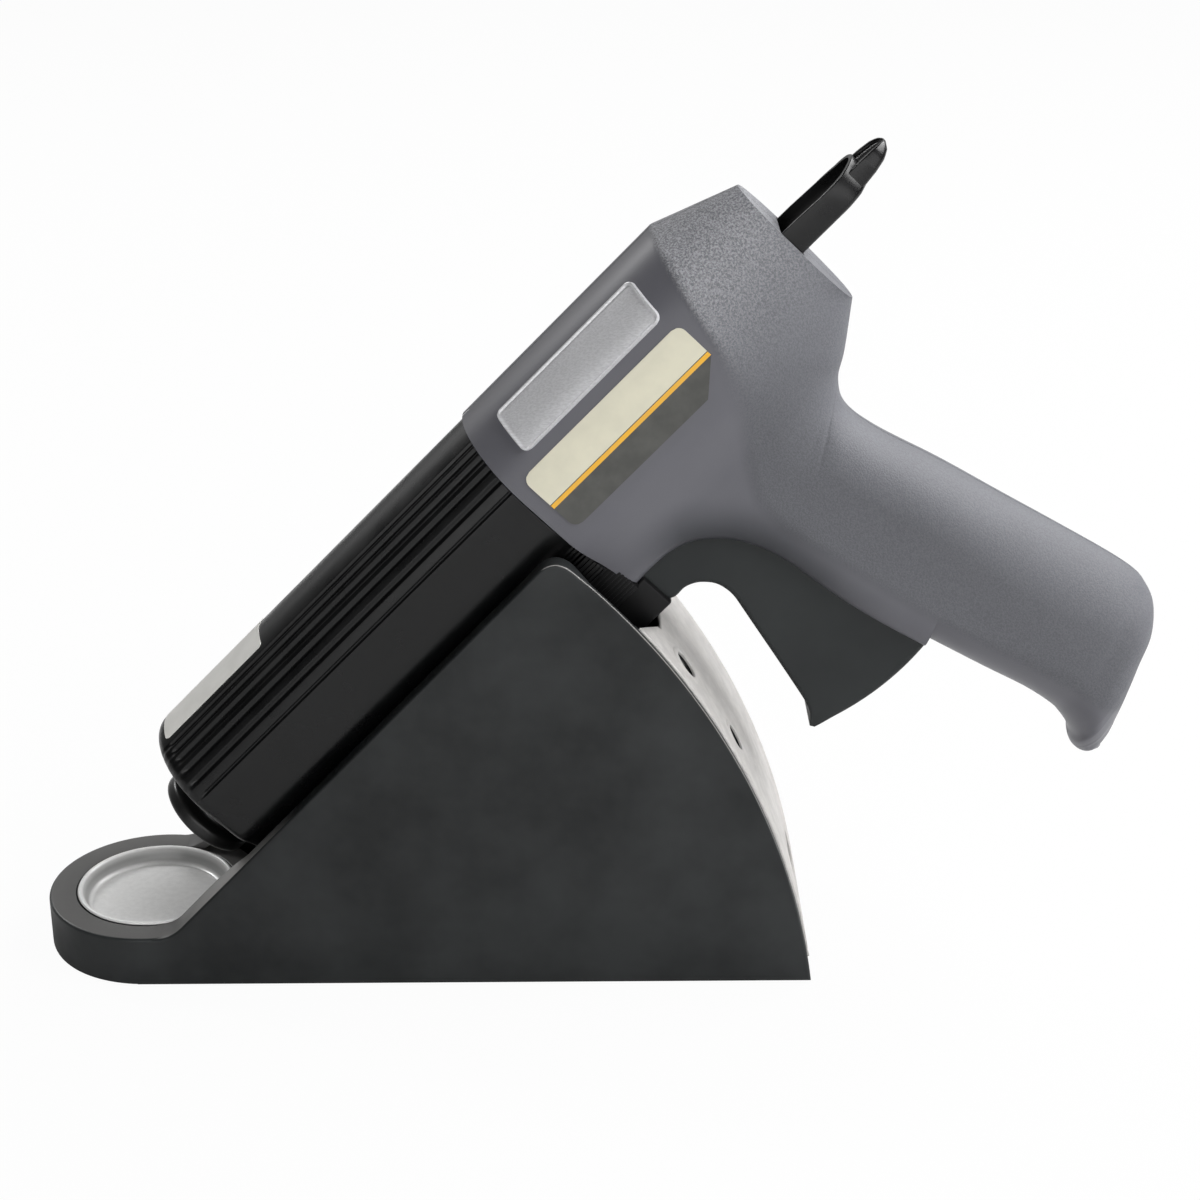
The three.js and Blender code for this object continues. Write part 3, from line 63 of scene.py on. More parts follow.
def add_camera():
    place = Vector((0.0476, -0.6905, 0.4156))
    view = Vector((0.01067, 0.9173, -0.39805))
    data = bpy.data.cameras.new("camera")
    data.lens = 73.48
    data.sensor_width = 36
    data.clip_start = 0.01
    camera = link(bpy.data.objects.new("camera", data))
    aim(camera, place, place + view)
    bpy.context.scene.camera = camera


def area(name, place, target, size, watts):
    data = bpy.data.lights.new(name, "AREA")
    data.shape = "RECTANGLE"
    data.size, data.size_y = size
    data.energy = watts
    aim(link(bpy.data.objects.new(name, data)), place, target)


def add_lights():
    """Four soft lights, and a dim room that is brighter low at the back and white to the camera."""
    middle = (0.03, 0, 0.12)
    area("front_light", (0.1, -1.75, 0.42), middle, (2.4, 0.7), 12)
    area("key_light", (1.1, 0.05, 1.15), middle, (2.2, 0.7), 52)
    area("back_light", (-0.3, 1.5, 0.75), middle, (2.6, 0.7), 3)
    area("rim_light", (-1.05, 0.85, 1.15), middle, (0.35, 0.35), 9)
    world = bpy.data.worlds.new("studio")
    bpy.context.scene.world = world
    world.use_nodes = True
    w = Tree(world.node_tree)
    w.tree.nodes.clear()
    out, room, parts = (w.node(kind) for kind in ("ShaderNodeOutputWorld", "ShaderNodeBackground",
                                                  "ShaderNodeSeparateXYZ"))
    w.join(w.node("ShaderNodeTexCoord").outputs["Generated"], parts.inputs["Vector"])
    back = w.ramp(parts.outputs["Y"], 0, 1, 0, 0.7, "SMOOTHSTEP")
    low = w.ramp(parts.outputs["Z"], 0, 1, 0.75, 0.3, "SMOOTHSTEP")
    level = w.ramp(w.math("MULTIPLY", back, low), 0.07, 0.4, 0, 1)
    seen = w.node("ShaderNodeLightPath").outputs["Is Camera Ray"]
    w.join(w.math("MAXIMUM", level, seen), room.inputs["Strength"])
    w.join(room.outputs[0], out.inputs[0])


# ---------------- materials
class Tree:
    """A node tree with short ways to add and join nodes."""

    def __init__(self, tree):
        self.tree = tree

    def node(self, kind, **inputs):
        made = self.tree.nodes.new(kind)
        for key, value in inputs.items():
            made.inputs[key].default_value = value
        return made

    def join(self, source, target):
        self.tree.links.new(source, target)

    def ramp(self, source, low, high, start=0.35, end=0.65, kind="LINEAR"):
        """Maps a value from start..end onto low..high."""
        made = self.node("ShaderNodeMapRange", **{"From Min": start, "From Max": end, "To Min": low, "To Max": high})
        made.interpolation_type = kind
        self.join(source, made.inputs["Value"])
        return made.outputs["Result"]

    def math(self, operation, first, second):
        """Works out one value from a socket and a second socket or a number."""
        made = self.node("ShaderNodeMath")
        made.operation = operation
        self.join(first, made.inputs[0])
        if isinstance(second, float):
            made.inputs[1].default_value = second
        else:
            self.join(second, made.inputs[1])
        return made.outputs[0]


class Finish(Tree):
    """One node material on a Principled shader."""

    def __init__(self, name, color, rough, metal=0, **constants):
        self.material = bpy.data.materials.new(name)
        self.material.use_nodes = True
        super().__init__(self.material.node_tree)
        self.shader = self.tree.nodes["Principled BSDF"]
        for key, value in {"Base Color": (*color, 1), "Roughness": rough, "Metallic": metal, **constants}.items():
            self.shader.inputs[key.replace("_", " ")].default_value = value

    def noise(self, scale, detail=3, roughness=0.55, turn=(0, 0, 0), stretch=(1, 1, 1)):
        made = self.node("ShaderNodeTexNoise", Scale=scale, Detail=detail, Roughness=roughness)
        self.join(self.place(turn, stretch), made.inputs["Vector"])
        return made.outputs["Fac"]

    def place(self, turn=(0, 0, 0), scale=(1, 1, 1)):
        mapping = self.node("ShaderNodeMapping", Rotation=turn, Scale=scale)
        self.join(self.node("ShaderNodeTexCoord").outputs["Object"], mapping.inputs["Vector"])
        return mapping.outputs["Vector"]

    def blend_color(self, fac, first, second):
        """Mixes two colours, each a tuple or a socket."""
        made = self.node("ShaderNodeMix")
        made.data_type = "RGBA"
        self.join(fac, made.inputs["Factor"])
        for socket, value in (("A", first), ("B", second)):
            target = [i for i in made.inputs if i.name == socket and i.type == "RGBA"][0]
            if isinstance(value, tuple):
                target.default_value = (*value, 1)
            else:
                self.join(value, target)
        return [o for o in made.outputs if o.type == "RGBA"][0]

    def color(self, source):
        self.join(source, self.shader.inputs["Base Color"])

    def rough(self, source):
        self.join(source, self.shader.inputs["Roughness"])

    def bump(self, height, strength, distance):
        made = self.node("ShaderNodeBump", Strength=strength, Distance=distance)
        self.join(height, made.inputs["Height"])
        self.join(made.outputs["Normal"], self.shader.inputs["Normal"])

    def attribute(self, name):
        made = self.node("ShaderNodeAttribute")
        made.attribute_name = name
        return made.outputs["Fac"]


def moulded(name, color, lighter, rough, grain, depth, shine, pale=None):
    """Moulded plastic: cloudy tone, fine spark-eroded grain, uneven gloss, and painted highlights and reflections in a
    paler colour where the "pale" attribute says.
    """
    f = Finish(name, color, rough, Specular_IOR_Level=shine)
    cloud = f.noise(22, 4, 0.6)
    tone = f.blend_color(f.ramp(cloud, 0, 1), color, lighter)
    # painted highlights and reflections: the pale colour where the pale attribute says
    f.color(f.blend_color(f.attribute("pale"), tone, pale) if pale else tone)
    f.rough(f.ramp(f.noise(60, 3), rough - 0.05, rough + 0.06))
    f.bump(f.noise(grain, 2, 0.7), 0.35, depth)
    return f.material


def make_materials():
    plastics = {  # name, colour, lighter colour, roughness, grain's scale and depth, shine, colour of painted highlights and reflections
        "stand": ("stand_black", (0.0085, 0.0098, 0.0104), (0.0245, 0.0268, 0.0275), 0.4, 1100, 0.00007, 0.3,
                  (0.34, 0.33, 0.32)),
        "barrel": ("barrel_black", (0.002, 0.0021, 0.0023), (0.0032, 0.0034, 0.0037), 0.29, 1500, 0.00002, 0.38),
        "trigger": ("trigger_black", (0.015, 0.0172, 0.0178), (0.0215, 0.0245, 0.025), 0.5, 1400, 0.00003, 0.3),
        "gloss": ("gloss_black", (0.004, 0.004, 0.0045), (0.008, 0.008, 0.0085), 0.27, 1600, 0.00001, 0.33),
        "heel": ("heel_black", (0.003, 0.003, 0.0033), (0.005, 0.005, 0.0054), 0.45, 1600, 0.00001, 0.22),
        "rubber": ("heat_rubber", (0.005, 0.005, 0.005), (0.009, 0.009, 0.009), 0.36, 1300, 0.00002, 0.5),
        "pad": ("rubber_pad", (0.014, 0.014, 0.014), (0.022, 0.022, 0.022), 0.85, 900, 0.00006, 0.4),
    }
    metals = {  # name, colour, roughness, kind of marks, share of metal
        "tray": ("tray_metal", (0.88, 0.88, 0.87), 0.34, "turned", 0.05),
        "cover": ("cover_sheet", (0.52, 0.505, 0.49), 0.6, "plain", 0.05),
        "badge": ("badge_brushed", (0.78, 0.78, 0.8), 0.38, "brushed", 0.3),
        "steel": ("plated_steel", (0.56, 0.56, 0.57), 0.28, "plain", 1),
        "brass": ("turned_brass", (0.62, 0.43, 0.17), 0.3, "turned", 1),
        "aluminium": ("cast_aluminium", (0.62, 0.62, 0.63), 0.42, "plain", 1),
    }
    strands = (700, 4, 0.7, (0, 0, 0), (1, 1, 0.3))
    return {
        **{key: moulded(*given) for key, given in plastics.items()},
        **{key: metal(*given) for key, given in metals.items()},
        "housing": housing_finish(),
        "felt": mottled("felt_sleeve", (0.46, 0.41, 0.32), 0.95, ((0.46, 0.41, 0.32), (0.58, 0.53, 0.43)),
                        strands, strands, 0.8, 0.0002, Sheen_Weight=0.2),
        "glue": mottled("set_glue", (0.8, 0.74, 0.55), 0.35, ((0.74, 0.67, 0.47), (0.84, 0.79, 0.62)),
                        (200, 3), (300, 2), 0.3, 0.0002, Subsurface_Weight=0.2),
        "board": board_finish(),
        "label": label_finish(),
        "white_label": mottled("white_label", (0.82, 0.81, 0.77), 0.5, ((0.82, 0.81, 0.77), (0.88, 0.87, 0.83)),
                               (120, 3), (1500, 2), 0.2, 0.00001),
    }


def metal(name, color, rough, kind, share):
    """Metal with marks along one way: brushed along the feed axis, turned in rings, or plain rolled."""
    f = Finish(name, color, rough, share)
    darker = tuple(c * (0.93 if kind == "turned" else 0.82) for c in color)
    if kind == "brushed":
        marks = f.noise(2400, 2, 0.6, turn=(0, LEAN, 0), stretch=(0.02, 1, 1))
    elif kind == "turned":
        marks = f.noise(500, 2, 0.6, stretch=(1, 1, 5))
    else:
        marks = f.noise(180, 4, 0.6)
    tone = f.blend_color(f.ramp(marks, 0, 1), darker, color)
    # painted shade: turned metal darkens where the "shade" attribute says
    f.color(f.blend_color(f.attribute("shade"), tone, tuple(c * 0.3 for c in color)) if kind == "turned" else tone)
    f.rough(f.ramp(f.noise(45, 3), rough - 0.06, rough + 0.07))
    f.bump(marks, 0.25, 0.00001 if kind == "turned" else 0.00003)
    return f.material


def housing_finish():
    """Grey plastic: satin at the front, speckled and rough where "grain" is 1, painted shade where "under" is 1."""
    f = Finish("housing_grey", (0.105, 0.105, 0.12), 0.5, Specular_IOR_Level=0.4)
    grain = f.attribute("grain")
    cloud = f.ramp(f.noise(28, 3), 0, 1)
    satin = f.blend_color(cloud, (0.118, 0.118, 0.134), (0.128, 0.128, 0.144))
    spots = f.noise(1650, 2, 0.75)
    speck = f.ramp(spots, 0, 1, 0.38, 0.62)
    coarse = f.blend_color(speck, (0.11, 0.112, 0.123), (0.285, 0.287, 0.302))
    fine = f.blend_color(speck, (0.1, 0.102, 0.114), (0.128, 0.13, 0.144))
    # lighter, coarser specks towards the top where "speck" is 1: partly the grain, partly painted light from above
    grained = f.blend_color(f.attribute("speck"), fine, coarse)
    # painted shade over the trigger: the colour turns nearly black where "under" is 1
    f.color(f.blend_color(f.attribute("under"), f.blend_color(grain, satin, grained), (0.028, 0.03, 0.036)))
    f.rough(f.ramp(grain, 0.42, 0.62, 0, 1))
    f.bump(f.math("MULTIPLY", f.ramp(grain, 0.12, 1, 0, 1), spots), 0.6, 0.00022)
    return f.material


def mottled(name, color, rough, tones, cloud, grain, strength, depth, **constants):
    """A plain finish with two tones in one noise and a bump from another, each noise given by its settings."""
    f = Finish(name, color, rough, **constants)
    f.color(f.blend_color(f.ramp(f.noise(*cloud), 0, 1), *tones))
    f.bump(f.noise(*grain), strength, depth)
    return f.material


def board_finish():
    f = Finish("circuit_green", (0.02, 0.11, 0.05), 0.4)
    cells = f.node("ShaderNodeTexVoronoi", Scale=260)
    f.join(f.place(), cells.inputs["Vector"])
    f.color(f.blend_color(f.ramp(cells.outputs["Distance"], 1, 0, 0.15, 0.2), (0.02, 0.11, 0.05),
                          (0.45, 0.36, 0.16)))
    return f.material


def label_finish():
    """Printed plate read from its own map: cream above, a thin black line, an orange band, dark below."""
    f = Finish("printed_label", (0.66, 0.64, 0.5), 0.42, Coat_Weight=0.25)
    uv, parts, ramp = (f.node(kind) for kind in ("ShaderNodeUVMap", "ShaderNodeSeparateXYZ", "ShaderNodeValToRGB"))
    uv.uv_map = "plate"
    f.join(uv.outputs["UV"], parts.inputs["Vector"])
    ramp.color_ramp.interpolation = "CONSTANT"
    stops = ((0, (0.052, 0.052, 0.047)), (0.405, (0.9, 0.46, 0.015)), (0.465, (0.02, 0.02, 0.02)),
             (0.478, (0.72, 0.69, 0.545)))
    elements = ramp.color_ramp.elements
    while len(elements) < len(stops):
        elements.new(0.5)
    for element, (place, color) in zip(elements, stops):
        element.position = place
        element.color = (*color, 1)
    f.join(parts.outputs["Y"], ramp.inputs["Fac"])
    cloud = f.ramp(f.noise(150, 3), 0, 0.1)
    f.color(f.blend_color(cloud, ramp.outputs["Color"], (0.3, 0.3, 0.27)))
    f.bump(f.noise(1400, 2), 0.15, 0.00001)
    return f.material


# ---------------- mesh helpers
def pack(*parts):
    """Coordinates side by side in a last axis; a single number serves every point."""
    return np.stack(np.broadcast_arrays(*parts), axis=-1)


def gun_place(points):
    """Gun frame in millimetres to the world in metres."""
    p = np.asarray(points, float).reshape(-1, 3)
    c, s = math.cos(LEAN), math.sin(LEAN)
    return pack(p[:, 0] * c - p[:, 2] * s + GUN_X, p[:, 1], p[:, 0] * s + p[:, 2] * c + GUN_Z) * MM


def stand_place(points):
    return np.asarray(points, float).reshape(-1, 3) * MM


def grid_faces(rows, columns, wrap_rows=False, wrap_columns=False, start=0):
    """Quads over a grid of points laid out row by row."""
    i = np.arange(rows if wrap_rows else rows - 1)
    j = np.arange(columns if wrap_columns else columns - 1)
    a, b = np.meshgrid(i, j, indexing="ij")
    a, b = a.ravel(), b.ravel()
    c, d = (a + 1) % rows, (b + 1) % columns
    return (np.stack((a * columns + b, c * columns + b, c * columns + d, a * columns + d), axis=1) + start).tolist()


class Shape:
    """Collects grids and faces of one piece, in millimetres."""

    def __init__(self):
        self.points, self.faces, self.count = [], [], 0

    def grid(self, points, wrap_rows=False, wrap_columns=False, capped=False):
        rows, columns = points.shape[:2]
        self.faces += grid_faces(rows, columns, wrap_rows, wrap_columns, self.count)
        if capped:
            self.faces.append([self.count + j for j in range(columns)][::-1])
            self.faces.append([self.count + (rows - 1) * columns + j for j in range(columns)])
        self.points.append(points.reshape(-1, 3))
        self.count += rows * columns
        return self

    def bar(self, points):
        """A grid that is wrapped round and closed at both ends."""
        return self.grid(points, wrap_columns=True, capped=True)


def build(name, shape, place, material, body, stands_for=(), crease=32, wall=None, values=None,
          plate_map=None):
    """Makes the mesh object of a shape: doubles merged, faces outward, smooth but for sharp edges."""
    points = np.concatenate(shape.points)
    mesh = bpy.data.meshes.new(name)
    mesh.from_pydata(place(points).tolist(), [], shape.faces)
    for key, array in (values or {}).items():
        mesh.attributes.new(key, "FLOAT", "POINT").data.foreach_set("value", np.asarray(array, np.float32))
    if plate_map is not None:
        layer = mesh.uv_layers.new(name="plate")
        corner = np.empty(len(mesh.loops), np.int32)
        mesh.loops.foreach_get("vertex_index", corner)
        layer.data.foreach_set("uv", plate_map[corner].astype(np.float32).ravel())
    work = bmesh.new()
    work.from_mesh(mesh)
    bmesh.ops.remove_doubles(work, verts=work.verts, dist=4e-6)
    bmesh.ops.dissolve_degenerate(work, edges=work.edges, dist=2e-6)
    bmesh.ops.recalc_face_normals(work, faces=work.faces)
    work.to_mesh(mesh)
    work.free()
    mesh.shade_smooth()
    mesh.set_sharp_from_angle(angle=math.radians(crease))
    mesh.materials.append(material)
    obj = link(bpy.data.objects.new(name, mesh))
    if wall:
        thick = obj.modifiers.new("wall", "SOLIDIFY")
        thick.thickness = wall * MM
        thick.offset = -1
        thick.use_even_offset = False
    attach(obj, body)
    if stands_for:
        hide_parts(*stands_for)
    return obj


def lathe(profile, segments=96, axis="x", centre=(0, 0)):
    """A closed profile of (place along, radius) pairs turned about an axis through a centre."""
    p = np.asarray(profile, float)
    turn = np.linspace(0, 2 * np.pi, segments, endpoint=False)
    along = np.repeat(p[:, :1], segments, axis=1)
    across, up = p[:, 1:] * np.cos(turn), p[:, 1:] * np.sin(turn)
    if axis == "x":
        return pack(along, across + centre[0], up + centre[1])
    return pack(across + centre[0], up + centre[1], along)


def rounded(profile, radii, steps=5):
    """Rounds the corners of an outline: each corner becomes a quadratic curve that starts its radius away."""
    p = np.asarray(profile, float)
    count = len(p)
    made = []
    for k in range(count):
        radius = radii[k] if np.ndim(radii) else radii
        before, here, after = p[k - 1], p[k], p[(k + 1) % count]
        if radius <= 0:
            made.append(here[None])
            continue
        first, second = before - here, after - here
        reach = min(radius, np.hypot(*first) * 0.49, np.hypot(*second) * 0.49)
        a = here + first / np.hypot(*first) * reach
        b = here + second / np.hypot(*second) * reach
        t = np.linspace(0, 1, steps + 1)[:, None]
        made.append(a * (1 - t) ** 2 + here * 2 * t * (1 - t) + b * t ** 2)
    return np.concatenate(made)


def placed(x, section):
    """A section, given as y and z, at a place along x."""
    return pack(x, *section.T)


def carried(section, places):
    return np.array([placed(x, section) for x in places])


def arc(centre, radius, start, end, steps):
    turn = np.radians(np.linspace(start, end, steps + 1))
    return pack(centre[0] + radius * np.cos(turn), centre[1] + radius * np.sin(turn))


def unit(vectors):
    return vectors / np.maximum(np.hypot(*vectors.T), 1e-9)[:, None]


def outline_normals(p):
    """Inward mitre normals of a closed outline, whichever way round it runs."""
    after = np.roll(p, -1, axis=0)
    area2 = np.sum(p[:, 0] * after[:, 1] - after[:, 0] * p[:, 1])
    side = 1 if area2 > 0 else -1
    first, second = (pack(-v[:, 1], v[:, 0]) * side
                     for v in (unit(p - np.roll(p, 1, axis=0)), unit(after - p)))
    mitre = unit(first + second)
    return mitre / np.maximum(np.sum(mitre * first, axis=1), 0.5)[:, None]


def slab(outline, low, high, radius, steps):
    """An outline in x and z carried across y, its edges rounded by a radius, which may differ along it."""
    p = np.asarray(outline, float)
    n = outline_normals(p)
    turn = sweep(steps + 1)
    loops = [(radius * 1.3, low)] + [(radius * (1 - np.sin(t)), low + radius * (1 - np.cos(t))) for t in turn]
    loops += [(radius * (1 - np.cos(t)), high - radius * (1 - np.sin(t))) for t in turn] + [(radius * 1.3, high)]
    rows = []
    for inset, y in loops:
        q = p + n * np.reshape(inset, (-1, 1))
        rows.append(pack(q[:, 0], y, q[:, 1]))
    return np.array(rows)


def smooth_line(points, per=6):
    """A Catmull-Rom curve through the points."""
    p = np.asarray(points, float)
    ext = np.vstack((2 * p[0] - p[1], p, 2 * p[-1] - p[-2]))
    t = np.linspace(0, 1, per, endpoint=False)[:, None]
    made = []
    for k in range(1, len(ext) - 2):
        a, b, c, d = ext[k - 1:k + 3]
        made.append(0.5 * (2 * b + (c - a) * t + (2 * a - 5 * b + 4 * c - d) * t ** 2
                           + (3 * b - a - 3 * c + d) * t ** 3))
    return np.vstack((*made, p[-1:]))


def mix(a, b, t):
    return a + (b - a) * t


def smooth(t):
    t = np.clip(t, 0, 1)
    return t * t * (3 - 2 * t)


def sweep(count):
    """Angles spread over a quarter turn."""
    return np.linspace(0, np.pi / 2, count)


def quarter(t):
    """A quarter of a circle: 1 at t = 0 falling to 0 at t = 1."""
    return np.sqrt(np.clip(1 - np.clip(t, 0, 1) ** 2, 0, 1))


# ---------------- the stand
HALF = 34
FOOT_X, FOOT_HEIGHT = -87.5, 16.6
ARC = (-103.509, -30)  # the middle of the curved rear side
ARC_RADIUS, COVER_RADIUS = 227, 227.5
SLOPE = math.radians(46.8)
EDGE = 0.9
COVER_SCREWS = ((35.6, -18.4, 4.5, 1.5, 0.7), (28.1, -17, 4.2, 1.4, 0.25))  # angle, y, hole, size and rise of the lip


def stand_outline():
    """The cheek seen from the side, from the toe round the back and down the slope, and which points have a flange."""
    start, toe_z = FOOT_X - 2, FOOT_HEIGHT - 0.25
    run = np.array((math.cos(SLOPE), math.sin(SLOPE)))
    foot = np.array((FOOT_X + 9.2, toe_z))
    across = foot - np.array(ARC)
    b = across @ run
    top = foot + run * (math.sqrt(b * b - across @ across + ARC_RADIUS ** 2) - b)
    low = math.degrees(math.asin(-ARC[1] / ARC_RADIUS))
    high = math.degrees(math.atan2(top[1] - ARC[1], top[0] - ARC[0]))
    rear = arc(ARC, ARC_RADIUS, low, high, 56)
    crown = rounded(np.array((rear[-6], top, foot)), [0, 8.4, 0], 10)[1:-1]
    toe = rounded(np.array((top, foot, [start, toe_z])), [0, 6, 0], 6)[1:-1]
    slope = mix(crown[-1], toe[0], np.linspace(0, 1, 22)[1:-1, None])
    rear = rear[:-5]
    bottom = mix(np.array((start, 0)), rear[0], np.linspace(0, 1, 12)[:-1, None])
    points = np.vstack((bottom, rear, crown, slope, toe, [[start, toe_z]]))
    flange = np.zeros(len(points), bool)
    flange[len(bottom) + len(rear):-1] = True
    return points, flange


def cheek(side):
    """A cheek carried round its outline: rounded outer edge, a wide top along the slope, an inner face."""
    p, flange = stand_outline()
    n = outline_normals(p)
    wall, small = 31.5, 0.7
    inner = np.where(flange, np.interp(p[:, 1], [17.5, 21, 35, 42], [23.8, 22.6, 22.6, 27.2]), wall)
    turn = sweep(6)
    columns = [(EDGE * (1 - np.sin(t)), HALF - EDGE * (1 - np.cos(t))) for t in turn]
    columns += [(small * (1 - np.cos(t)), inner + small * (1 - np.sin(t))) for t in turn[::2]]
    columns += [(2.3, inner), (2.5, inner + 0.2), (2.5, wall), (2.9, wall)]
    rows = []
    for inset, y in columns:
        q = p + n * inset
        rows.append(pack(q[:, 0], side * y, q[:, 1]))
    # painted highlights and reflections: a painted highlight along the rear edge, the crown and the flange's inner
    # edge, and a painted reflection on the slope's wide top
    turn = np.degrees(np.arctan2(p[:, 1] - ARC[1], p[:, 0] - ARC[0]))
    painted_highlight = np.interp(turn, [10, 18, 32], [0, 0.45, 0.8]) * (~flange & (p[:, 1] > 1))
    painted_highlight[np.flatnonzero(flange)[:9]] = 0.8
    slope = np.interp(p[:, 1], [FOOT_HEIGHT - 1, 17.4, 20, 26, 44, 60], [0.22, 0.2, 0.34, 0.55, 0.9, 0]) * flange
    pale = np.zeros((len(rows), len(p)))
    pale[3] = painted_highlight
    pale[5:10] = slope
    pale[7:9] = np.maximum(slope, np.interp(p[:, 1], [44, 60], [0, 0.5]) * flange)
    return np.array(rows), pale


def foot_ring():
    """The round foot: a ring with a seat for the tray, turned about its own middle, flat at the back."""
    inner, floor, flat, segments = 25.3, 5, 29.4, 128
    profile = rounded([(0, 0.01), (HALF, 0.01), (HALF, FOOT_HEIGHT), (inner, FOOT_HEIGHT), (inner, floor),
                       (0, floor)], [0, 1.2, EDGE * 1.3, 0.9, 1.5, 0], 6)
    turn = np.linspace(0, 2 * np.pi, segments, endpoint=False)
    back = np.where(np.cos(turn) > 0, np.minimum(HALF, flat / np.maximum(np.cos(turn), 0.3)), HALF)
    r = np.where(profile[:, :1] <= 28, profile[:, :1], np.minimum(profile[:, :1], back[None, :]))
    return pack(FOOT_X + r * np.cos(turn), r * np.sin(turn), np.repeat(profile[:, 1:], segments, axis=1))


def add_stand(m):
    shape = Shape()
    pale = []
    for side in (1, -1):
        rows, painted_highlight = cheek(side)
        shape.bar(rows)
        pale.append(painted_highlight.ravel())
    ring = foot_ring()
    shape.grid(ring, wrap_columns=True)
    # painted reflection on the foot ring's top face
    pale.append(0.26 * (ring[..., 2] > FOOT_HEIGHT - 0.1).ravel())
    # inside: the ledges under the cover, and two webs
    for side in (1, -1):
        y = sorted((side * 27.5, side * 31.9))
        ledge = np.vstack((arc(ARC, 226, 10.5, 41.5, 24), arc(ARC, 224, 41.5, 10.5, 24)))
        shape.bar(slab(ledge, *y, 0.3, 2))
    for x in (-32, 14):
        high = GUN_Z + (x - GUN_X) * math.tan(LEAN) - 29.6 / math.cos(LEAN)
        web = [(x, 14), (x + 2, 14), (x + 2, high), (x, high)]
        shape.bar(slab(web, -31.8, 31.8, 0.3, 2))
    pale = np.concatenate(pale)
    pale = np.concatenate((pale, np.zeros(shape.count - len(pale))))
    build("stand_body", shape, stand_place, m["stand"], "stand", ["stand_shell"], 40,
          values={"pale": pale})


def add_tray(m):
    """The drip tray: a flat floor, a flared wall and a rolled rim, with painted shade on the wall where the floor
    turns up.
    """
    segments = 128
    upper = [(12, 0), (12, 19.5), (12.25, 20.6), (12.9, 21.6), (14, 22.3), (15.6, 22.9), (16.6, 23.4),
             (17.2, 24), (17.15, 24.7), (16.6, 25.1)]
    lower = [(16, 24.6), (15.4, 23.9), (13.6, 23.1), (11.9, 21.8), (11.2, 20.2), (11, 18), (11, 0)]
    profile = np.vstack((smooth_line(upper, 4), smooth_line(lower, 3)))
    shape = Shape().grid(lathe(profile, segments, "z", (FOOT_X, 0)), wrap_columns=True)
    # painted shade on the tray's wall under the rolled rim
    shade = np.interp(profile[:, 0], [11.9, 12.6, 13.4, 15, 16.4, 16.9], [0, 0.1, 0.75, 0.9, 0.5, 0])
    build("tray_dish", shape, stand_place, m["tray"], "tray", ["drip_tray"], 50,
          values={"shade": np.repeat(shade, segments)})


def add_trough(m):
    """The trough under the barrel: a thin U with rounded corners carried along the gun's axis."""
    section = rounded([(-26.9, -14.5), (-26.9, -28.5), (26.9, -28.5), (26.9, -14.5), (25.7, -14.5), (25.7, -27.3),
                       (-25.7, -27.3), (-25.7, -14.5)], [0.4, 5.7, 5.7, 0.4, 0.4, 4.5, 4.5, 0.4], 6)
    shape = Shape().bar(carried(section, np.linspace(-20.5, 120.6, 24)))
    build("trough_channel", shape, gun_place, m["gloss"], "stand", ["cradle_trough"], 30)


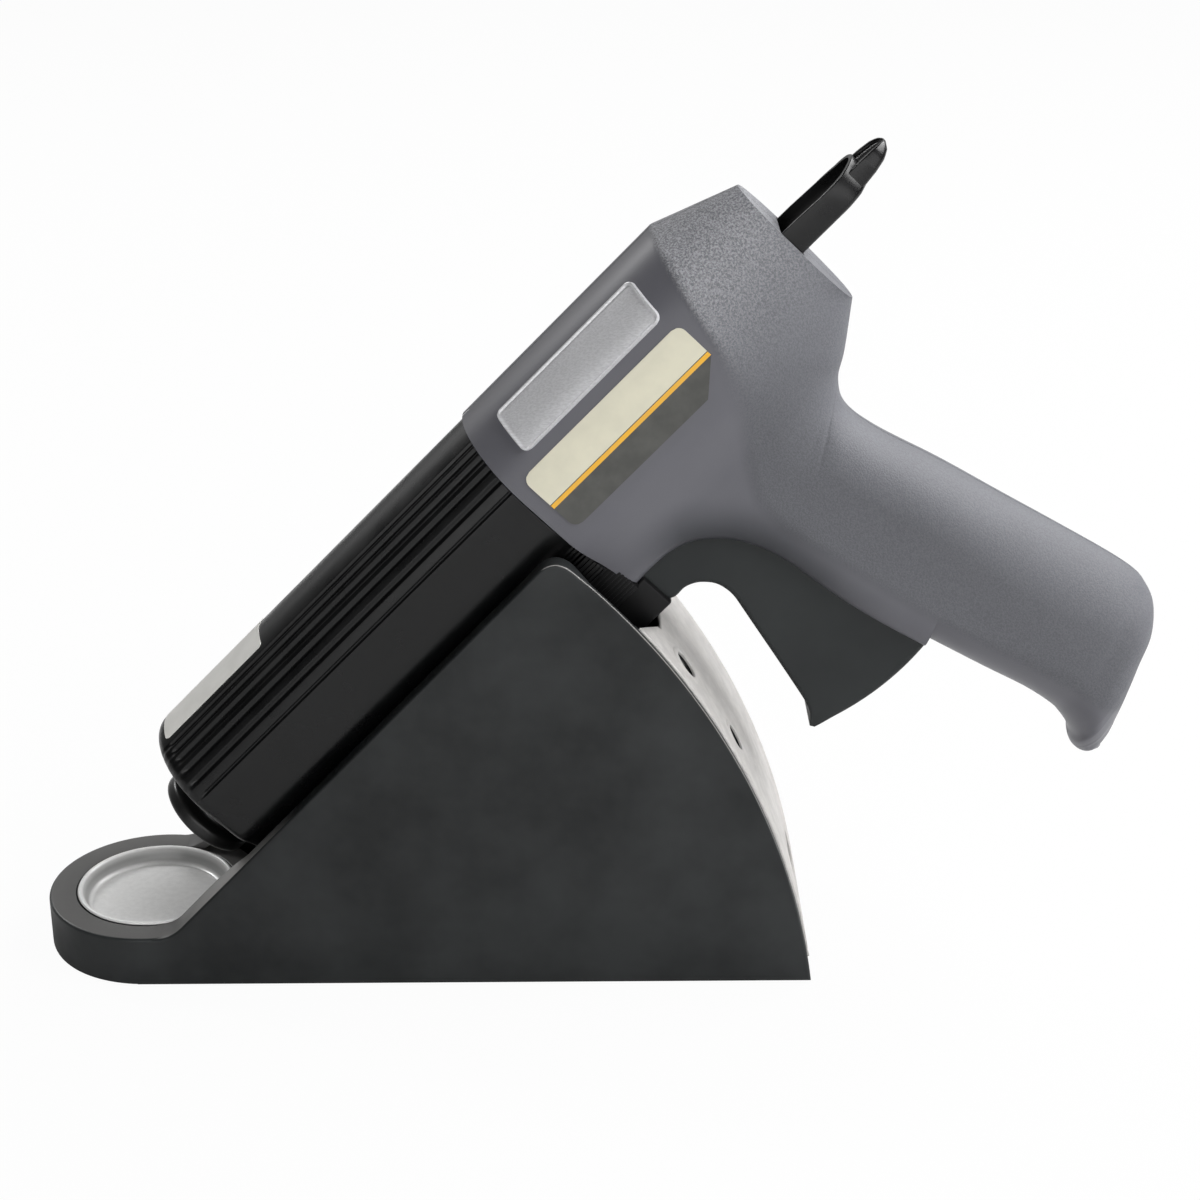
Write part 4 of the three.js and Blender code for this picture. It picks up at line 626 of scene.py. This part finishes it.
def add_cover(m):
    """The curved rear cover: a sheet over angle and width, with a slanted top edge, two screw holes and the inlet's.

    Faces inside a hole are left out and the points on its border are moved onto its outline.
    """
    y = np.linspace(-31.2, 31.2, 81)
    top = np.interp(np.abs(y), [0, 14, 14.6, 31.2], [38.7, 38.7, 39.1, 41.4])
    angle = np.concatenate((np.repeat(np.linspace(9.5, 38.2, 150)[:, None], len(y), axis=1),
                            [mix(38.2, top, share) for share in (0.34, 0.67, 1)]))
    across = np.repeat(y[None], len(angle), axis=0)
    along = np.radians(angle) * COVER_RADIUS
    keep = np.ones((angle.shape[0] - 1, angle.shape[1] - 1), bool)
    holes = [(degrees, middle, hole, hole, hole) for degrees, middle, hole, _, _ in COVER_SCREWS]
    for degrees, middle, reach, tall, radius in (*holes, (13.74, 0, 10.3, 7.5, 5)):
        height = math.radians(degrees) * COVER_RADIUS
        dy, dz = across - middle, along - height
        core = np.stack((np.clip(dy, radius - reach, reach - radius), np.clip(dz, radius - tall, tall - radius)))
        out = np.hypot(dy - core[0], dz - core[1])
        inside = (out[:-1, :-1] + out[1:, :-1] + out[:-1, 1:] + out[1:, 1:]) / 4 < radius
        keep &= ~inside
        touching = np.zeros(out.shape, int)
        for a, b in ((0, 0), (1, 0), (0, 1), (1, 1)):
            touching[a:a + inside.shape[0], b:b + inside.shape[1]] += inside
        border = (touching > 0) & (touching < 4)
        pull = radius / np.maximum(out[border], 1e-6)
        across[border] = middle + core[0][border] + (dy - core[0])[border] * pull
        along[border] = height + core[1][border] + (dz - core[1])[border] * pull
    turn = along / COVER_RADIUS
    points = pack(ARC[0] + COVER_RADIUS * np.cos(turn), across, ARC[1] + COVER_RADIUS * np.sin(turn))
    faces = np.array(grid_faces(*angle.shape))[keep.ravel()].tolist()
    shape = Shape()
    shape.points, shape.faces, shape.count = [points.reshape(-1, 3)], faces, angle.size
    build("cover_sheet", shape, stand_place, m["cover"], "stand", ["rear_cover"], 30, wall=1.2)
    for k, (degrees, middle, _, size, rise) in enumerate(COVER_SCREWS):
        c, s = math.cos(math.radians(degrees)), math.sin(math.radians(degrees))
        lip = smooth_line([(-0.7, 3), (0.1, 3), (0.5, 3.2), (0.6, 3.6), (0.35, 4.1), (-0.05, 4.4), (-0.5, 4.4),
                           (-0.7, 3.6), (-0.7, 3)], 4)[:-1] * (1, size)
        lip[:, 0] = np.where(lip[:, 0] > 0, lip[:, 0] * rise, lip[:, 0])
        bowl = np.array([(-3.2, 0), (-3.2, 1.6), (-2.9, 2.3), (-1.6, 2.8), (-0.2, 3.05), (-0.6, 3.3), (-2.2, 3),
                         (-3.6, 2.4), (-3.9, 1.6), (-3.9, 0)]) * (1, size)
        for name, profile, closed, finish, slot in (("lip", lip, True, "cover", "sheet_steel"),
                                                    ("bowl", bowl, False, "heel", "black_gloss")):
            ring = lathe(profile, 48)
            out = COVER_RADIUS + ring[..., 0]
            points = pack(ARC[0] + out * c - ring[..., 2] * s, ring[..., 1] + middle,
                          ARC[1] + out * s + ring[..., 2] * c)
            shape = Shape().grid(points, wrap_rows=closed, wrap_columns=True)
            build(f"cover_{name}_{k + 1}", shape, stand_place, m[finish], "stand")


# ---------------- the barrel
BARREL_RADIUS, BARREL_RISE = 25, 5.5  # the crown's radius, and its middle above the feed axis


def barrel_loop(grooves):
    """The barrel's section from the crown down the near side and up the far one, with grooves of a depth."""
    angle = np.linspace(0, 90, 361)
    dip = np.zeros_like(angle)
    for centre, half in ((32.5, 2.4), (39.3, 2.9), (47.5, 3.6), (57.2, 3.2), (67.3, 2.9), (78.2, 1.7)):
        dip = np.maximum(dip, np.cos(np.pi / 2 * np.clip((angle - centre) / half, -1, 1)) ** 1.2 * min(1, half / 2.6))
    r = BARREL_RADIUS - grooves * dip
    crown = pack(-r * np.sin(np.radians(angle)), BARREL_RISE + r * np.cos(np.radians(angle)))
    side = rounded([(-BARREL_RADIUS, BARREL_RISE), (-BARREL_RADIUS, -9), (-20.5, -14.5), (-20.5, -27),
                    (0, -27)], [0, 5.5, 5, 8.5, 0], 8)[1:]
    side = np.vstack((mix(crown[-1], side[0], np.linspace(0, 1, 8)[1:-1, None]), side))
    near = np.vstack((crown, side))
    return np.vstack((near, near[1:-1][::-1] * (-1, 1)))


def add_barrel(m):
    """The sleeve: its section carried along x, rounded at the front, closed to a hole for the boot."""
    loop, plain = barrel_loop(0.85), barrel_loop(0)
    inward = -plain / np.hypot(*plain.T)[:, None]
    nose, front_x, rear_x, wall, fade = 4.4, -2, 141, 2.4, 0.75
    last = mix(loop, plain, fade)
    front, lining = plain + inward * nose, plain + inward * wall
    hole = front / np.hypot(*front.T)[:, None] * 10.8
    rows = [(x, loop) for x in np.linspace(rear_x, front_x + nose + 3, 20)]
    rows += [(front_x + nose + 3 * (1 - t), mix(loop, plain, smooth(t) * fade)) for t in np.linspace(0, 1, 7)[1:]]
    rows += [(front_x + nose * (1 - np.sin(t)), mix(last, plain, t / 1.6) + inward * nose * (1 - np.cos(t)))
             for t in sweep(11)[1:]]
    rows += [(front_x, mix(front, hole, share)) for share in (0.25, 0.5, 0.75, 1)]
    rows += [(front_x + 2.2, hole), (front_x + 2.4, mix(hole, lining, 0.9)), (front_x + 3.5, lining),
             (rear_x - 0.6, lining), (rear_x, plain + inward * 1.2)]
    shape = Shape().grid(np.array([placed(x, points) for x, points in rows]), True, True)
    turn = np.radians(np.linspace(0, 180, 40))
    arch = [pack(radius * np.cos(turn), BARREL_RISE + radius * np.sin(turn)) for radius in (22.6, 21.1)]
    shape.bar(carried(np.vstack((arch[0], arch[1][::-1])), (138, 140, 144, 146.8)))
    build("barrel_shell", shape, gun_place, m["barrel"], "gun", ["barrel_sleeve"], 50)


def add_boot(m):
    """The rubber boot, a thick disc with a soft rim on a short neck, and the nozzle inside it."""
    profile = rounded([(-14, 7.2), (-14, 15.5), (-9.2, 15.5), (-8.2, 11.2), (2.2, 10.5), (2.2, 7.2)],
                      [0.6, 2, 1.4, 1.2, 0.4, 0.3], 6)
    build("boot_disc", Shape().grid(lathe(profile, 96), True, True), gun_place, m["rubber"], "gun",
          ["nozzle_boot"], 40)
    tip = rounded([(-17.5, 1.2), (-17.5, 2.6), (-12, 4.4), (-10.6, 7), (7.2, 7), (7.2, 10), (9.3, 10),
                   (9.3, 2.4)], [0.3, 0.6, 0.8, 0.8, 0.2, 0.3, 0.3, 0.2], 4)
    build("nozzle_body", Shape().grid(lathe(tip, 72), True, True), gun_place, m["brass"], "gun",
          ["nozzle"], 40)


def add_contact_block(m):
    """The ribbed heel under the barrel's rear end: three blocks that step down towards the trigger.

    Each is a half width by height, carried along x with rounded ends. The first two are grooved along x, and the
    first is open in the middle, where the pusher runs.
    """
    corner, pitch = 0.9, 1.35
    shape = Shape()
    for high, low, gap, wide, start, stop, groove in ((-8.6, -27.5, 16.6, 21, 132.6, 141.3, 0.5),
                                                      (-27, -40, 0, 17, 129, 143, 0.2),
                                                      (-39.5, -51.5, 0, 14.2, 129, 145.4, 0)):
        z = np.linspace(high, low, 150)
        edge = np.minimum(high - z, z - low)
        ribs = np.cos((high - z) * 2 * np.pi / pitch) < -0.2
        width = wide - corner * (1 - quarter(1 - edge / corner)) - groove * ribs
        inner = np.full(len(z), gap)
        for left, right in ((inner, width), (-width, -inner)) if gap else ((-width, width),):
            section = np.vstack((pack(left, z), pack(right, z)[::-1]))
            ends = ((start, 0.7), (start + 0.25, 0.2), (start + 0.8, 0), (stop - 0.8, 0), (stop - 0.25, 0.2),
                    (stop, 0.7))
            shape.bar(np.array([placed(x, section * (1 - inset / wide, 1)) for x, inset in ends]))
    build("contact_heel", shape, gun_place, m["heel"], "gun", ["contact_block"], 30)


# ---------------- the housing
FRONT, LENGTH, DROP = 141.6, 105.9, 188
CROWN, BODY_MIDDLE = 0.168 * DROP, 0.029 * DROP  # heights of the body's crown and of the middle of its arch
# x and z on the outer and on the inner boundary, as shares of LENGTH behind FRONT and of DROP, from the front of the
# body over its rear end and the grip's back to the butt
STATIONS = np.array([
    [0, 0.168, 0, -0.211], [0.249, 0.168, 0.079, -0.209], [0.504, 0.168, 0.155, -0.213],
    [0.627, 0.168, 0.221, -0.229], [0.75, 0.168, 0.278, -0.259], [1, 0.117, 0.3, -0.277],
    [1, 0.053, 0.315, -0.293], [1, -0.011, 0.328, -0.309], [1, -0.074, 0.338, -0.326],
    [1, -0.136, 0.345, -0.341], [0.883, -0.187, 0.35, -0.355], [0.812, -0.214, 0.357, -0.378],
    [0.772, -0.255, 0.366, -0.425], [0.783, -0.32, 0.385, -0.494], [0.842, -0.434, 0.415, -0.57],
    [0.894, -0.548, 0.462, -0.67], [0.941, -0.649, 0.497, -0.745], [0.984, -0.746, 0.534, -0.819],
    [1.001, -0.8, 0.55, -0.872], [0.997, -0.829, 0.549, -0.896], [0.974, -0.863, 0.542, -0.918],
    [0.912, -0.898, 0.53, -0.936], [0.826, -0.922, 0.513, -0.947], [0.716, -0.955, 0.505, -0.958],
    [0.634, -0.979, 0.508, -0.97], [0.57, -0.992, 0.53, -0.981],
])
SLOT_HALF, SLOT_END = 12.1, 14.55  # the trigger's slot: half its width, and the station where it ends
END_HALF, END_MIDDLE = 10.4, -1.6  # the rear oval: half its width, and its middle's height
# the front edge of the grained rear panel
PANEL_Z = np.array([40, 31.6, 16, 2, -10, -24, -35, -46, -59, -76, -115, -150, -175, -200])
PANEL_X = np.array([222, 221, 217.5, 214.5, 211, 203, 194, 187.5, 186.4, 190.5, 198, 207, 214, 222])


def panel_share(x, z):
    """1 inside the grained rear panel and grip, 0 in front of its edge."""
    edge = np.interp(-z, -PANEL_Z, PANEL_X)
    soft = np.interp(-z, [-30, 0, 12, 40, 60, 200], [0.5, 0.8, 5, 3, 2.2, 2.2])
    return smooth(0.5 + (x - edge) / (2 * soft))


def half_width(x, z):
    """Half width of the body: a drum in front, facets to the rear that end in an oval, a neck below."""
    along = (x - FRONT) / LENGTH
    start = 0.69 + 0.06 * np.clip(z / 31.6, -0.6, 1)
    bend = np.interp(-z, [-12, 2, 14], [0.008, 0.03, 0.16])
    t = (along - start) / (1 - start)
    rear = np.clip((t + np.sqrt(t * t + bend ** 2)) / (1 + np.sqrt(1 + bend ** 2)), 0, 1)
    half = mix(mix(26, 25, np.clip(along / 0.72, 0, 1)), END_HALF, rear)
    top = mix(0.168, 0.117, np.clip((along - 0.75) / 0.25, 0, 1)) * DROP
    base = mix(BODY_MIDDLE, END_MIDDLE, rear)
    neck = smooth((-0.064 * DROP - z) / ((0.181 - 0.064) * DROP))
    lower = mix(half, 16.5, neck * mix(1, 0.35, rear))
    return np.where(z <= base, lower, half * quarter((z - base) / (top - base)))


def along_stations(u, outer):
    """A place on the outer or inner boundary at a station number that need not be whole."""
    table = (STATIONS[:, :2] if outer else STATIONS[:, 2:]) * (LENGTH, DROP) + (FRONT, 0)
    breaks = (0, 4, 5, 9, len(table) - 1) if outer else (0, len(table) - 1)
    made = np.empty((len(u), 2))
    for first, last in zip(breaks[:-1], breaks[1:]):
        inside = (u >= first) & (u <= last)
        part = table[first:last + 1]
        if last > 9:
            part = smooth_line(part, 12)
        where = np.linspace(first, last, len(part))
        made[inside] = np.column_stack([np.interp(u[inside], where, part[:, k]) for k in (0, 1)])
    return made


def distance_to_line(x, z, line):
    """Distance of every place to the nearest point of a line of short pieces."""
    best = np.full(x.shape, 1e9)
    for (x0, z0), (x1, z1) in zip(line[:-1], line[1:]):
        dx, dz = x1 - x0, z1 - z0
        share = np.clip(((x - x0) * dx + (z - z0) * dz) / (dx * dx + dz * dz), 0, 1)
        best = np.minimum(best, np.hypot(x - x0 - share * dx, z - z0 - share * dz))
    return best


def smooth_interp(at, knots, values):
    """Values between knots, eased at each knot."""
    place = np.interp(at, knots, np.arange(len(knots)))
    low = np.clip(place.astype(int), 0, len(knots) - 2)
    values = np.array(values)
    return mix(values[low], values[low + 1], smooth(place - low))


def housing_grid():
    """Rows run along the stations, columns from the middle over the outer edge to the slot.

    Width = half width, less a rounding near the outer boundary and near the inner one. The second result is
    the painted shade on the roof over the trigger at each point.
    """
    window = [5 + np.interp(-z / DROP, -STATIONS[5:10, 1], [0, 1, 2, 3, 4]) for z in (5.3, -4.3)]
    ends = [place + shift for place in (*window, SLOT_END) for shift in (-1e-3, 1e-3)]
    u = np.unique(np.concatenate((np.linspace(0, 25, 201), np.linspace(2.6, 9.6, 190), ends)))
    outer, inner = along_stations(u, True), along_stations(u, False)
    span = np.hypot(*(inner - outer).T)
    t = 0.5 - 0.5 * np.cos(np.pi * np.linspace(0, 1, 96))
    x = outer[:, :1] + (inner - outer)[:, :1] * t
    z = outer[:, 1:] + (inner - outer)[:, 1:] * t
    width = half_width(x, z) + 0.35 * panel_share(x, z) * smooth((248 - x) / 12)
    # outer edge: full width falls away towards the underside and the back of the grip
    to_edge = distance_to_line(x, z, along_stations(np.linspace(9, 25, 300), True))
    to_edge[u >= 9, 0] = 0
    back_radius = smooth_interp(u, [0, 8, 10, 12, 14, 16, 18, 20, 25], [23.4, 23.4, 21, 17, 17.5, 21, 19, 11, 9])
    narrow = np.minimum(back_radius, np.maximum(span / 2, 0.5))
    back_radius = mix(back_radius, narrow, smooth((u - 9) / 3.5))[:, None]
    width = width * quarter(1 - to_edge / back_radius)
    # inner edge: rolled under towards the trigger's slot, or closed at the front of the grip
    front_radius = np.interp(u, [0, 2, 4, 6, 12, 15, 16.5, 18, 20, 25], [5, 7, 11, 13, 13, 13, 16, 16, 13, 11])
    front_radius = np.minimum(front_radius, span / 2)[:, None]
    from_inner = span[:, None] * (1 - t)
    slot = np.where(u < SLOT_END, SLOT_HALF, 0)
    width = width - (width - slot[:, None]).clip(0) * (1 - quarter(1 - from_inner / front_radius))
    # the butt's lip narrows to its tip
    width = width * np.interp(u, [0, 21, 22, 23, 24, 25], [1, 1, 0.96, 0.86, 0.66, 0.34])[:, None]
    rows = pack(x, width, z)
    # end face from the middle, or from the rod's window, to the outer edge
    edge = rows[:, 0, 1]
    begin = np.minimum(np.where((u > window[0]) & (u < window[1]), 9.1, 0), edge)
    cap = np.stack([pack(outer[:, 0], mix(begin, edge, share), outer[:, 1])
                    for share in (0, 0.33, 0.66, 0.93)], axis=1)
    # the slot's wall turns up into the body
    up = (outer - inner) / span[:, None]
    wall = np.stack([pack(inner[:, 0] + up[:, 0] * d, slot, inner[:, 1] + up[:, 1] * d)
                     for d in (1.5, 7)], axis=1)
    closed = u >= SLOT_END
    wall[closed] = rows[closed, -1][:, None]
    grid = np.concatenate((cap, rows, wall), axis=1)
    # the butt closes on its middle
    end = grid[-1].mean(axis=0) * (1, 0, 1)
    closing = [mix(grid[-1], end, share) for share in (0.35, 0.7, 1)]
    # painted shade under the housing's roof over the trigger, strongest next to the slot
    under = 0.9 * smooth(1 - from_inner / 17) * np.interp(u, [0, 1, 2.5, 8, 12, 14], [0, 0.3, 1, 1, 0.8, 0])[:, None]
    under = np.concatenate((np.zeros((len(u), 4)), under, np.repeat(under[:, -1:], 2, axis=1)), axis=1)
    return np.concatenate((grid, np.array(closing)), axis=0), np.pad(under, ((0, 3), (0, 0)))


def add_housing(m):
    grid, under = housing_grid()
    # speck: 1 towards the top, where the specks are coarser and lighter, partly as painted light from above
    values = {"grain": panel_share(grid[..., 0], grid[..., 2]), "speck": smooth((grid[..., 2] + 24) / 54),
              "under": under}
    for side, name, node in ((-1, "housing_near", "housing_left"), (1, "housing_far", "housing_right")):
        half = grid.copy()
        half[..., 1] = side * (half[..., 1] + 0.12)
        build(name, Shape().grid(half[:, ::side]), gun_place, m["housing"], "gun", [node], 28,
              values={key: value[:, ::side].ravel() for key, value in values.items()})


def rounded_span(across, low, high, radius):
    """How far a plate's ends draw in near its corners, at places across it from low to high."""
    near = np.minimum(across - low, high - across)
    return radius - np.sqrt(np.clip(radius ** 2 - np.clip(radius - near, 0, radius) ** 2, 0, None))


def plate(place_at, start, end, across, rise):
    """A thin plate on a surface: rows across it, columns between its drawn-in ends, thickness by a rise."""
    share = 0.5 - 0.5 * np.cos(np.pi * np.linspace(0, 1, 60))
    x = start[:, None] + (end - start)[:, None] * share
    v = np.repeat(across[:, None], len(share), axis=1)
    top = place_at(x, v, rise(x, v))
    base = place_at(x, v, np.zeros_like(x))
    return top, base, x, v


def closed_plate(top, base):
    """Joins the upper and lower sheets of a plate round their edges."""
    rows, columns = top.shape[:2]
    both = np.concatenate((top.reshape(-1, 3), base.reshape(-1, 3)))
    upper = grid_faces(rows, columns)
    lower = [f[::-1] for f in grid_faces(rows, columns, start=rows * columns)]
    ring = [*range(columns), *(i * columns + columns - 1 for i in range(1, rows)),
            *((rows - 1) * columns + j for j in range(columns - 2, -1, -1)),
            *(i * columns for i in range(rows - 2, 0, -1))]
    count = rows * columns
    side = [[a, b, b + count, a + count] for a, b in zip(ring, ring[1:] + ring[:1])]
    shape = Shape()
    shape.points, shape.faces, shape.count = [both], upper + lower + side, len(both)
    return shape


def add_plates(m):
    # badge: between two angles on the crown, given in degrees, with a raised rim
    first, last, low, high, corner, per_degree = 152.6, 209.1, 32, 68, 2.6, 0.4548

    def on_crown(x, angle, out):
        half = half_width(x, np.full_like(x, BODY_MIDDLE)) + 0.1 + out
        rise = CROWN - BODY_MIDDLE + 0.1 + out
        return pack(x, -half * np.sin(np.radians(angle)) - 0.15,
                    BODY_MIDDLE + rise * np.cos(np.radians(angle)))

    def badge_rise(x, v):
        past_x = np.abs(x - (first + last) / 2) - (last - first) / 2 + corner
        past_v = (np.abs(v - (low + high) / 2) - (high - low) / 2) * per_degree + corner
        near = corner - np.hypot(past_x.clip(0), past_v.clip(0)) - np.minimum(np.maximum(past_x, past_v), 0)
        return np.clip(near / 0.3, 0, 1) - 0.5 * smooth((near - 0.8) / 0.35)

    angle = np.linspace(low, high, 40)
    pull = rounded_span(angle * per_degree, low * per_degree, high * per_degree, corner)
    top, base, _, _ = plate(on_crown, first + pull, last - pull, angle, badge_rise)
    build("badge_panel", closed_plate(top, base), gun_place, m["badge"], "gun", ["badge_plate"], 30)

    # side label: flat rows with a drawn-in upper corner and a cut lower rear corner
    first, last, low, high, cut = 146.6, 211.1, -10.5, 11.3, -2

    def on_side(x, z, out):
        return pack(x, -(half_width(x, z) + 0.14 + out), z)

    z = np.unique(np.concatenate((np.linspace(low, high, 44), [cut, cut - 0.05])))
    pull = rounded_span(z, low, high, 3)
    end = np.where(z > cut, last - np.where(z > 0, pull, 0), last - 0.3 - (cut - z) * 9.9 / 8.7)
    top, base, x, v = plate(on_side, first + pull, end, z, lambda x, v: np.full_like(x, 0.3))
    plate_map = pack((x.ravel() - first) / (last - first), (v.ravel() - low) / (high - low))
    build("label_panel", closed_plate(top, base), gun_place, m["label"], "gun", ["side_label"], 30,
          plate_map=np.vstack((plate_map, plate_map)))

    # white label on the barrel's crown, between two angles
    low, high, per_degree = -27, 26, 0.4363

    def on_barrel(x, angle, out):
        turn, radius = np.radians(90 + angle), BARREL_RADIUS + 0.02 + out
        return pack(x, radius * np.cos(turn), BARREL_RISE + radius * np.sin(turn))

    angle = np.linspace(low, high, 36)
    pull = rounded_span(angle * per_degree, low * per_degree, high * per_degree, 1.2)
    top, base, _, _ = plate(on_barrel, 3.6 + pull, 48.5 - pull, angle, lambda x, v: np.full_like(x, 0.16))
    build("white_panel", closed_plate(top, base), gun_place, m["white_label"], "gun",
          ["rating_label"], 30)


# ---------------- trigger and rod
PIVOT = (176, -33)
# x and z round the trigger, as shares of the housing's length and drop; the first two points make a straight end
TRIGGER_FRONT = [(0.008, -0.19), (0.008, -0.262), (0.024, -0.268), (0.049, -0.276), (0.088, -0.276), (0.119, -0.283),
                 (0.141, -0.294), (0.157, -0.307), (0.165, -0.323), (0.166, -0.342), (0.158, -0.364), (0.145, -0.395),
                 (0.109, -0.482), (0.081, -0.547), (0.07, -0.568), (0.056, -0.584), (0.031, -0.597)]
TRIGGER_REAR = [(0.5326, -0.6187), (0.4618, -0.319), (0.42, -0.18)]


def add_trigger(m):
    """The lever, flat on both sides with soft edges, its hub, and the arm and knob that push the clamp."""
    front = np.array(TRIGGER_FRONT) * (LENGTH, DROP) + (FRONT, 0)
    front = np.vstack((front[:2], smooth_line(front[2:], 5)))
    rear = np.array(TRIGGER_REAR) * (LENGTH, DROP) + (FRONT, 0)
    start, stop = (math.degrees(math.atan2(z - PIVOT[1], x - PIVOT[0])) % 360 for x, z in (front[-1], rear[0]))
    sole = arc(PIVOT, 86.2, start + 0.8, stop, 36)
    back = mix(rear[0], rear[1], np.linspace(0, 1, 12)[1:, None])
    outline = np.vstack((front, sole, back, rear[2:]))
    soft = 0.05 + 1.45 * smooth(np.hypot(*(outline - front[-1]).T) / 9)
    shape = Shape().bar(slab(outline, -11.5, 11.5, soft, 5))

    def turned(profile, segments, x, z):
        ring = lathe(profile, segments)
        return pack(x + ring[..., 1], ring[..., 0], z + ring[..., 2])

    shape.grid(turned(rounded([(-11.5, 2.2), (-11.5, 5), (11.5, 5), (11.5, 2.2)], 0.4, 3), 40, *PIVOT), True, True)
    shape.bar(slab(rounded([(174.4, -34), (177.6, -34), (177.6, -15), (174.4, -15)], 0.3, 2), -4, 4, 0.3, 2))
    knob = rounded([(-4, 0), (-4, 3), (4, 3), (4, 0)], [0, 0.5, 0.5, 0], 3)
    shape.grid(turned(knob, 32, PIVOT[0], -13), False, True)
    build("trigger_lever", shape, gun_place, m["trigger"], "trigger", ["trigger"], 34)


def channel(x, half, low, top, inner, depth, corner):
    """A bar carried along x with a round-bottomed trough in its top, all sizes given along x.

    The trough's section is a superellipse: |y / inner|^5 + |drop / depth|^3 = 1.
    """
    columns = [(0 * x, low)]
    bottom, tall = np.minimum(corner, half * 0.6), np.minimum(corner * 0.9, (top - low) * 0.45)
    edge = np.minimum(0.35, half * 0.2)
    for a in sweep(7):
        columns.append((half - bottom * (1 - np.sin(a)), low + tall * (1 - np.cos(a))))
    for a in sweep(4):
        columns.append((half - edge * (1 - np.cos(a)), top - edge * (1 - np.sin(a))))
    for a in sweep(18)[:-1]:
        columns.append((inner * np.cos(a) ** 0.4, top - depth * np.sin(a) ** 0.67))
    columns.append((0 * x, top - depth))
    near = np.array([np.stack((x, y, z), axis=1) for y, z in columns])
    far = near[1:-1][::-1] * (1, -1, 1)
    return np.concatenate((near, far), axis=0).transpose(1, 0, 2)


def add_rod(m):
    """The feed rod: a channel that ends in a half oval, and a narrower dished tab with a round tip."""
    start, end = 49.3, 276.3
    x = np.concatenate((np.linspace(start, 262, 24), end - 14.3 * (1 - np.sin(sweep(60)))))
    x = np.unique(x)
    t = np.clip((x - 263.5) / (end - 263.5), 0, 1)
    half = np.maximum(8.8 * (1 - t ** 2.3) ** 0.5, 0.3)
    top = np.interp(x, [start, 250, 262, 270, 275, end], [5, 4.9, 4.4, 4.3, 4.8, 4.7])
    low = np.interp(x, [start, 266, 271, 274, end], [-4, -4, -3.8, -3.2, -2])
    inner = np.minimum(7.9 * quarter((x - 261) / 13.9), half - 0.25)
    depth = np.minimum(7 * quarter((x - 263.5) / 11.3), top - low - 1.2)
    shape = Shape().bar(channel(x, half, low, top, inner, depth, 1.6))
    start, end = 272.5, 285.7
    x = np.concatenate((np.linspace(start, 281, 18), end - 5 * (1 - np.sin(sweep(40)))))
    x = np.unique(x)
    half = np.interp(x, [start, 278.5, 282, end], [6.6, 6.2, 5.4, 5])
    half = np.maximum(half * quarter((x - 281.3) / 4.4) ** 0.9, 0.3)
    top = np.interp(x, [start, 277, 282, 284.5, end], [3.3, 3.2, 2.8, 2.2, 1.5])
    low = np.interp(x, [start, 278, 282, 284.5, end], [-3.2, -2.6, -1.9, -0.8, 0.8])
    inner = np.minimum((half - 1.1).clip(0.1), half * 0.8)
    depth = np.minimum(1.5 * quarter((x - 281) / 4.4) + 0.02, (top - low) * 0.6)
    shape.bar(channel(x, half, low, top, inner, depth, 1.5))
    build("rod_channel", shape, gun_place, m["gloss"], "feed_rod", ["feed_rod"], 38)


def add_rear_guide(m):
    """The guide round the rod inside the housing's end: a frame with rounded corners and edges."""
    outer = rounded([(-9.3, -6.6), (9.3, -6.6), (9.3, 7.2), (-9.3, 7.2)], 2, 5)
    inner = rounded([(-8.95, -4.15), (8.95, -4.15), (8.95, 5.15), (-8.95, 5.15)], 1.2, 5)
    rows = ((236.4, 0), (236, 0.12), (236, 0.88), (236.4, 1), (243.1, 1), (243.5, 0.88), (243.5, 0.12),
            (243.1, 0))
    grid = np.array([placed(x, mix(outer, inner, share)) for x, share in rows])
    build("rod_guide", Shape().grid(grid, True, True), gun_place, m["gloss"], "gun", ["rear_guide"], 30)


# ---------------- carried-over solids and the set
def dress_solids(m):
    """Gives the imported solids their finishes; those not named here are steel."""
    named = {
        "stand": "base_plate", "cover": "rear_cover", "heel": "rear_cover_screw_1 rear_cover_screw_2",
        "gloss": "power_inlet cradle_trough contact_socket rear_guide", "board": "control_board gun_control_board",
        "aluminium": "heating_chamber glue_cartridge", "felt": "insulation_sleeve chamber_support_ring",
        "glue": "glue_charge", "pad": "rubber_foot_1 rubber_foot_2 rubber_foot_3 rubber_foot_4",
        "brass": "heating_mat socket_contact_1 socket_contact_2 contact_pin_1 contact_pin_2",
    }
    finish_of = {name: key for key, names in named.items() for name in names.split()}
    for name, obj in nodes.items():
        finish = m[finish_of.get(name, "steel")]
        if obj.material_slots:
            obj.material_slots[0].material = finish
        else:
            obj.data.materials.append(finish)


def add_floor():
    """A plain pale floor that shows white to the camera and keeps the object's shadow."""
    mesh = bpy.data.meshes.new("floor")
    size, level = 30.0, -0.0004
    corners = [(x * size, y * size, level) for x, y in ((-1, -1), (1, -1), (1, 1), (-1, 1))]
    mesh.from_pydata(corners, [], [(0, 1, 2, 3)])
    f = Finish("floor_white", (0.56, 0.56, 0.56), 0.6)
    shine, blend = f.node("ShaderNodeEmission", Strength=1), f.node("ShaderNodeMixShader")
    seen = f.node("ShaderNodeLightPath").outputs["Is Camera Ray"]
    f.join(f.math("MULTIPLY", seen, 0.96), blend.inputs["Fac"])
    f.join(f.shader.outputs[0], blend.inputs[1])
    f.join(shine.outputs[0], blend.inputs[2])
    out = [n for n in f.tree.nodes if n.type == "OUTPUT_MATERIAL"][0]
    f.join(blend.outputs[0], out.inputs["Surface"])
    mesh.materials.append(f.material)
    link(bpy.data.objects.new("floor", mesh))


add_camera()
add_lights()
add_floor()
materials = make_materials()
dress_solids(materials)
for add_piece in (add_stand, add_tray, add_cover, add_trough, add_barrel, add_boot, add_contact_block, add_housing,
                  add_plates, add_trigger, add_rod, add_rear_guide):
    add_piece(materials)

bpy.context.scene.view_settings.view_transform = "Standard"
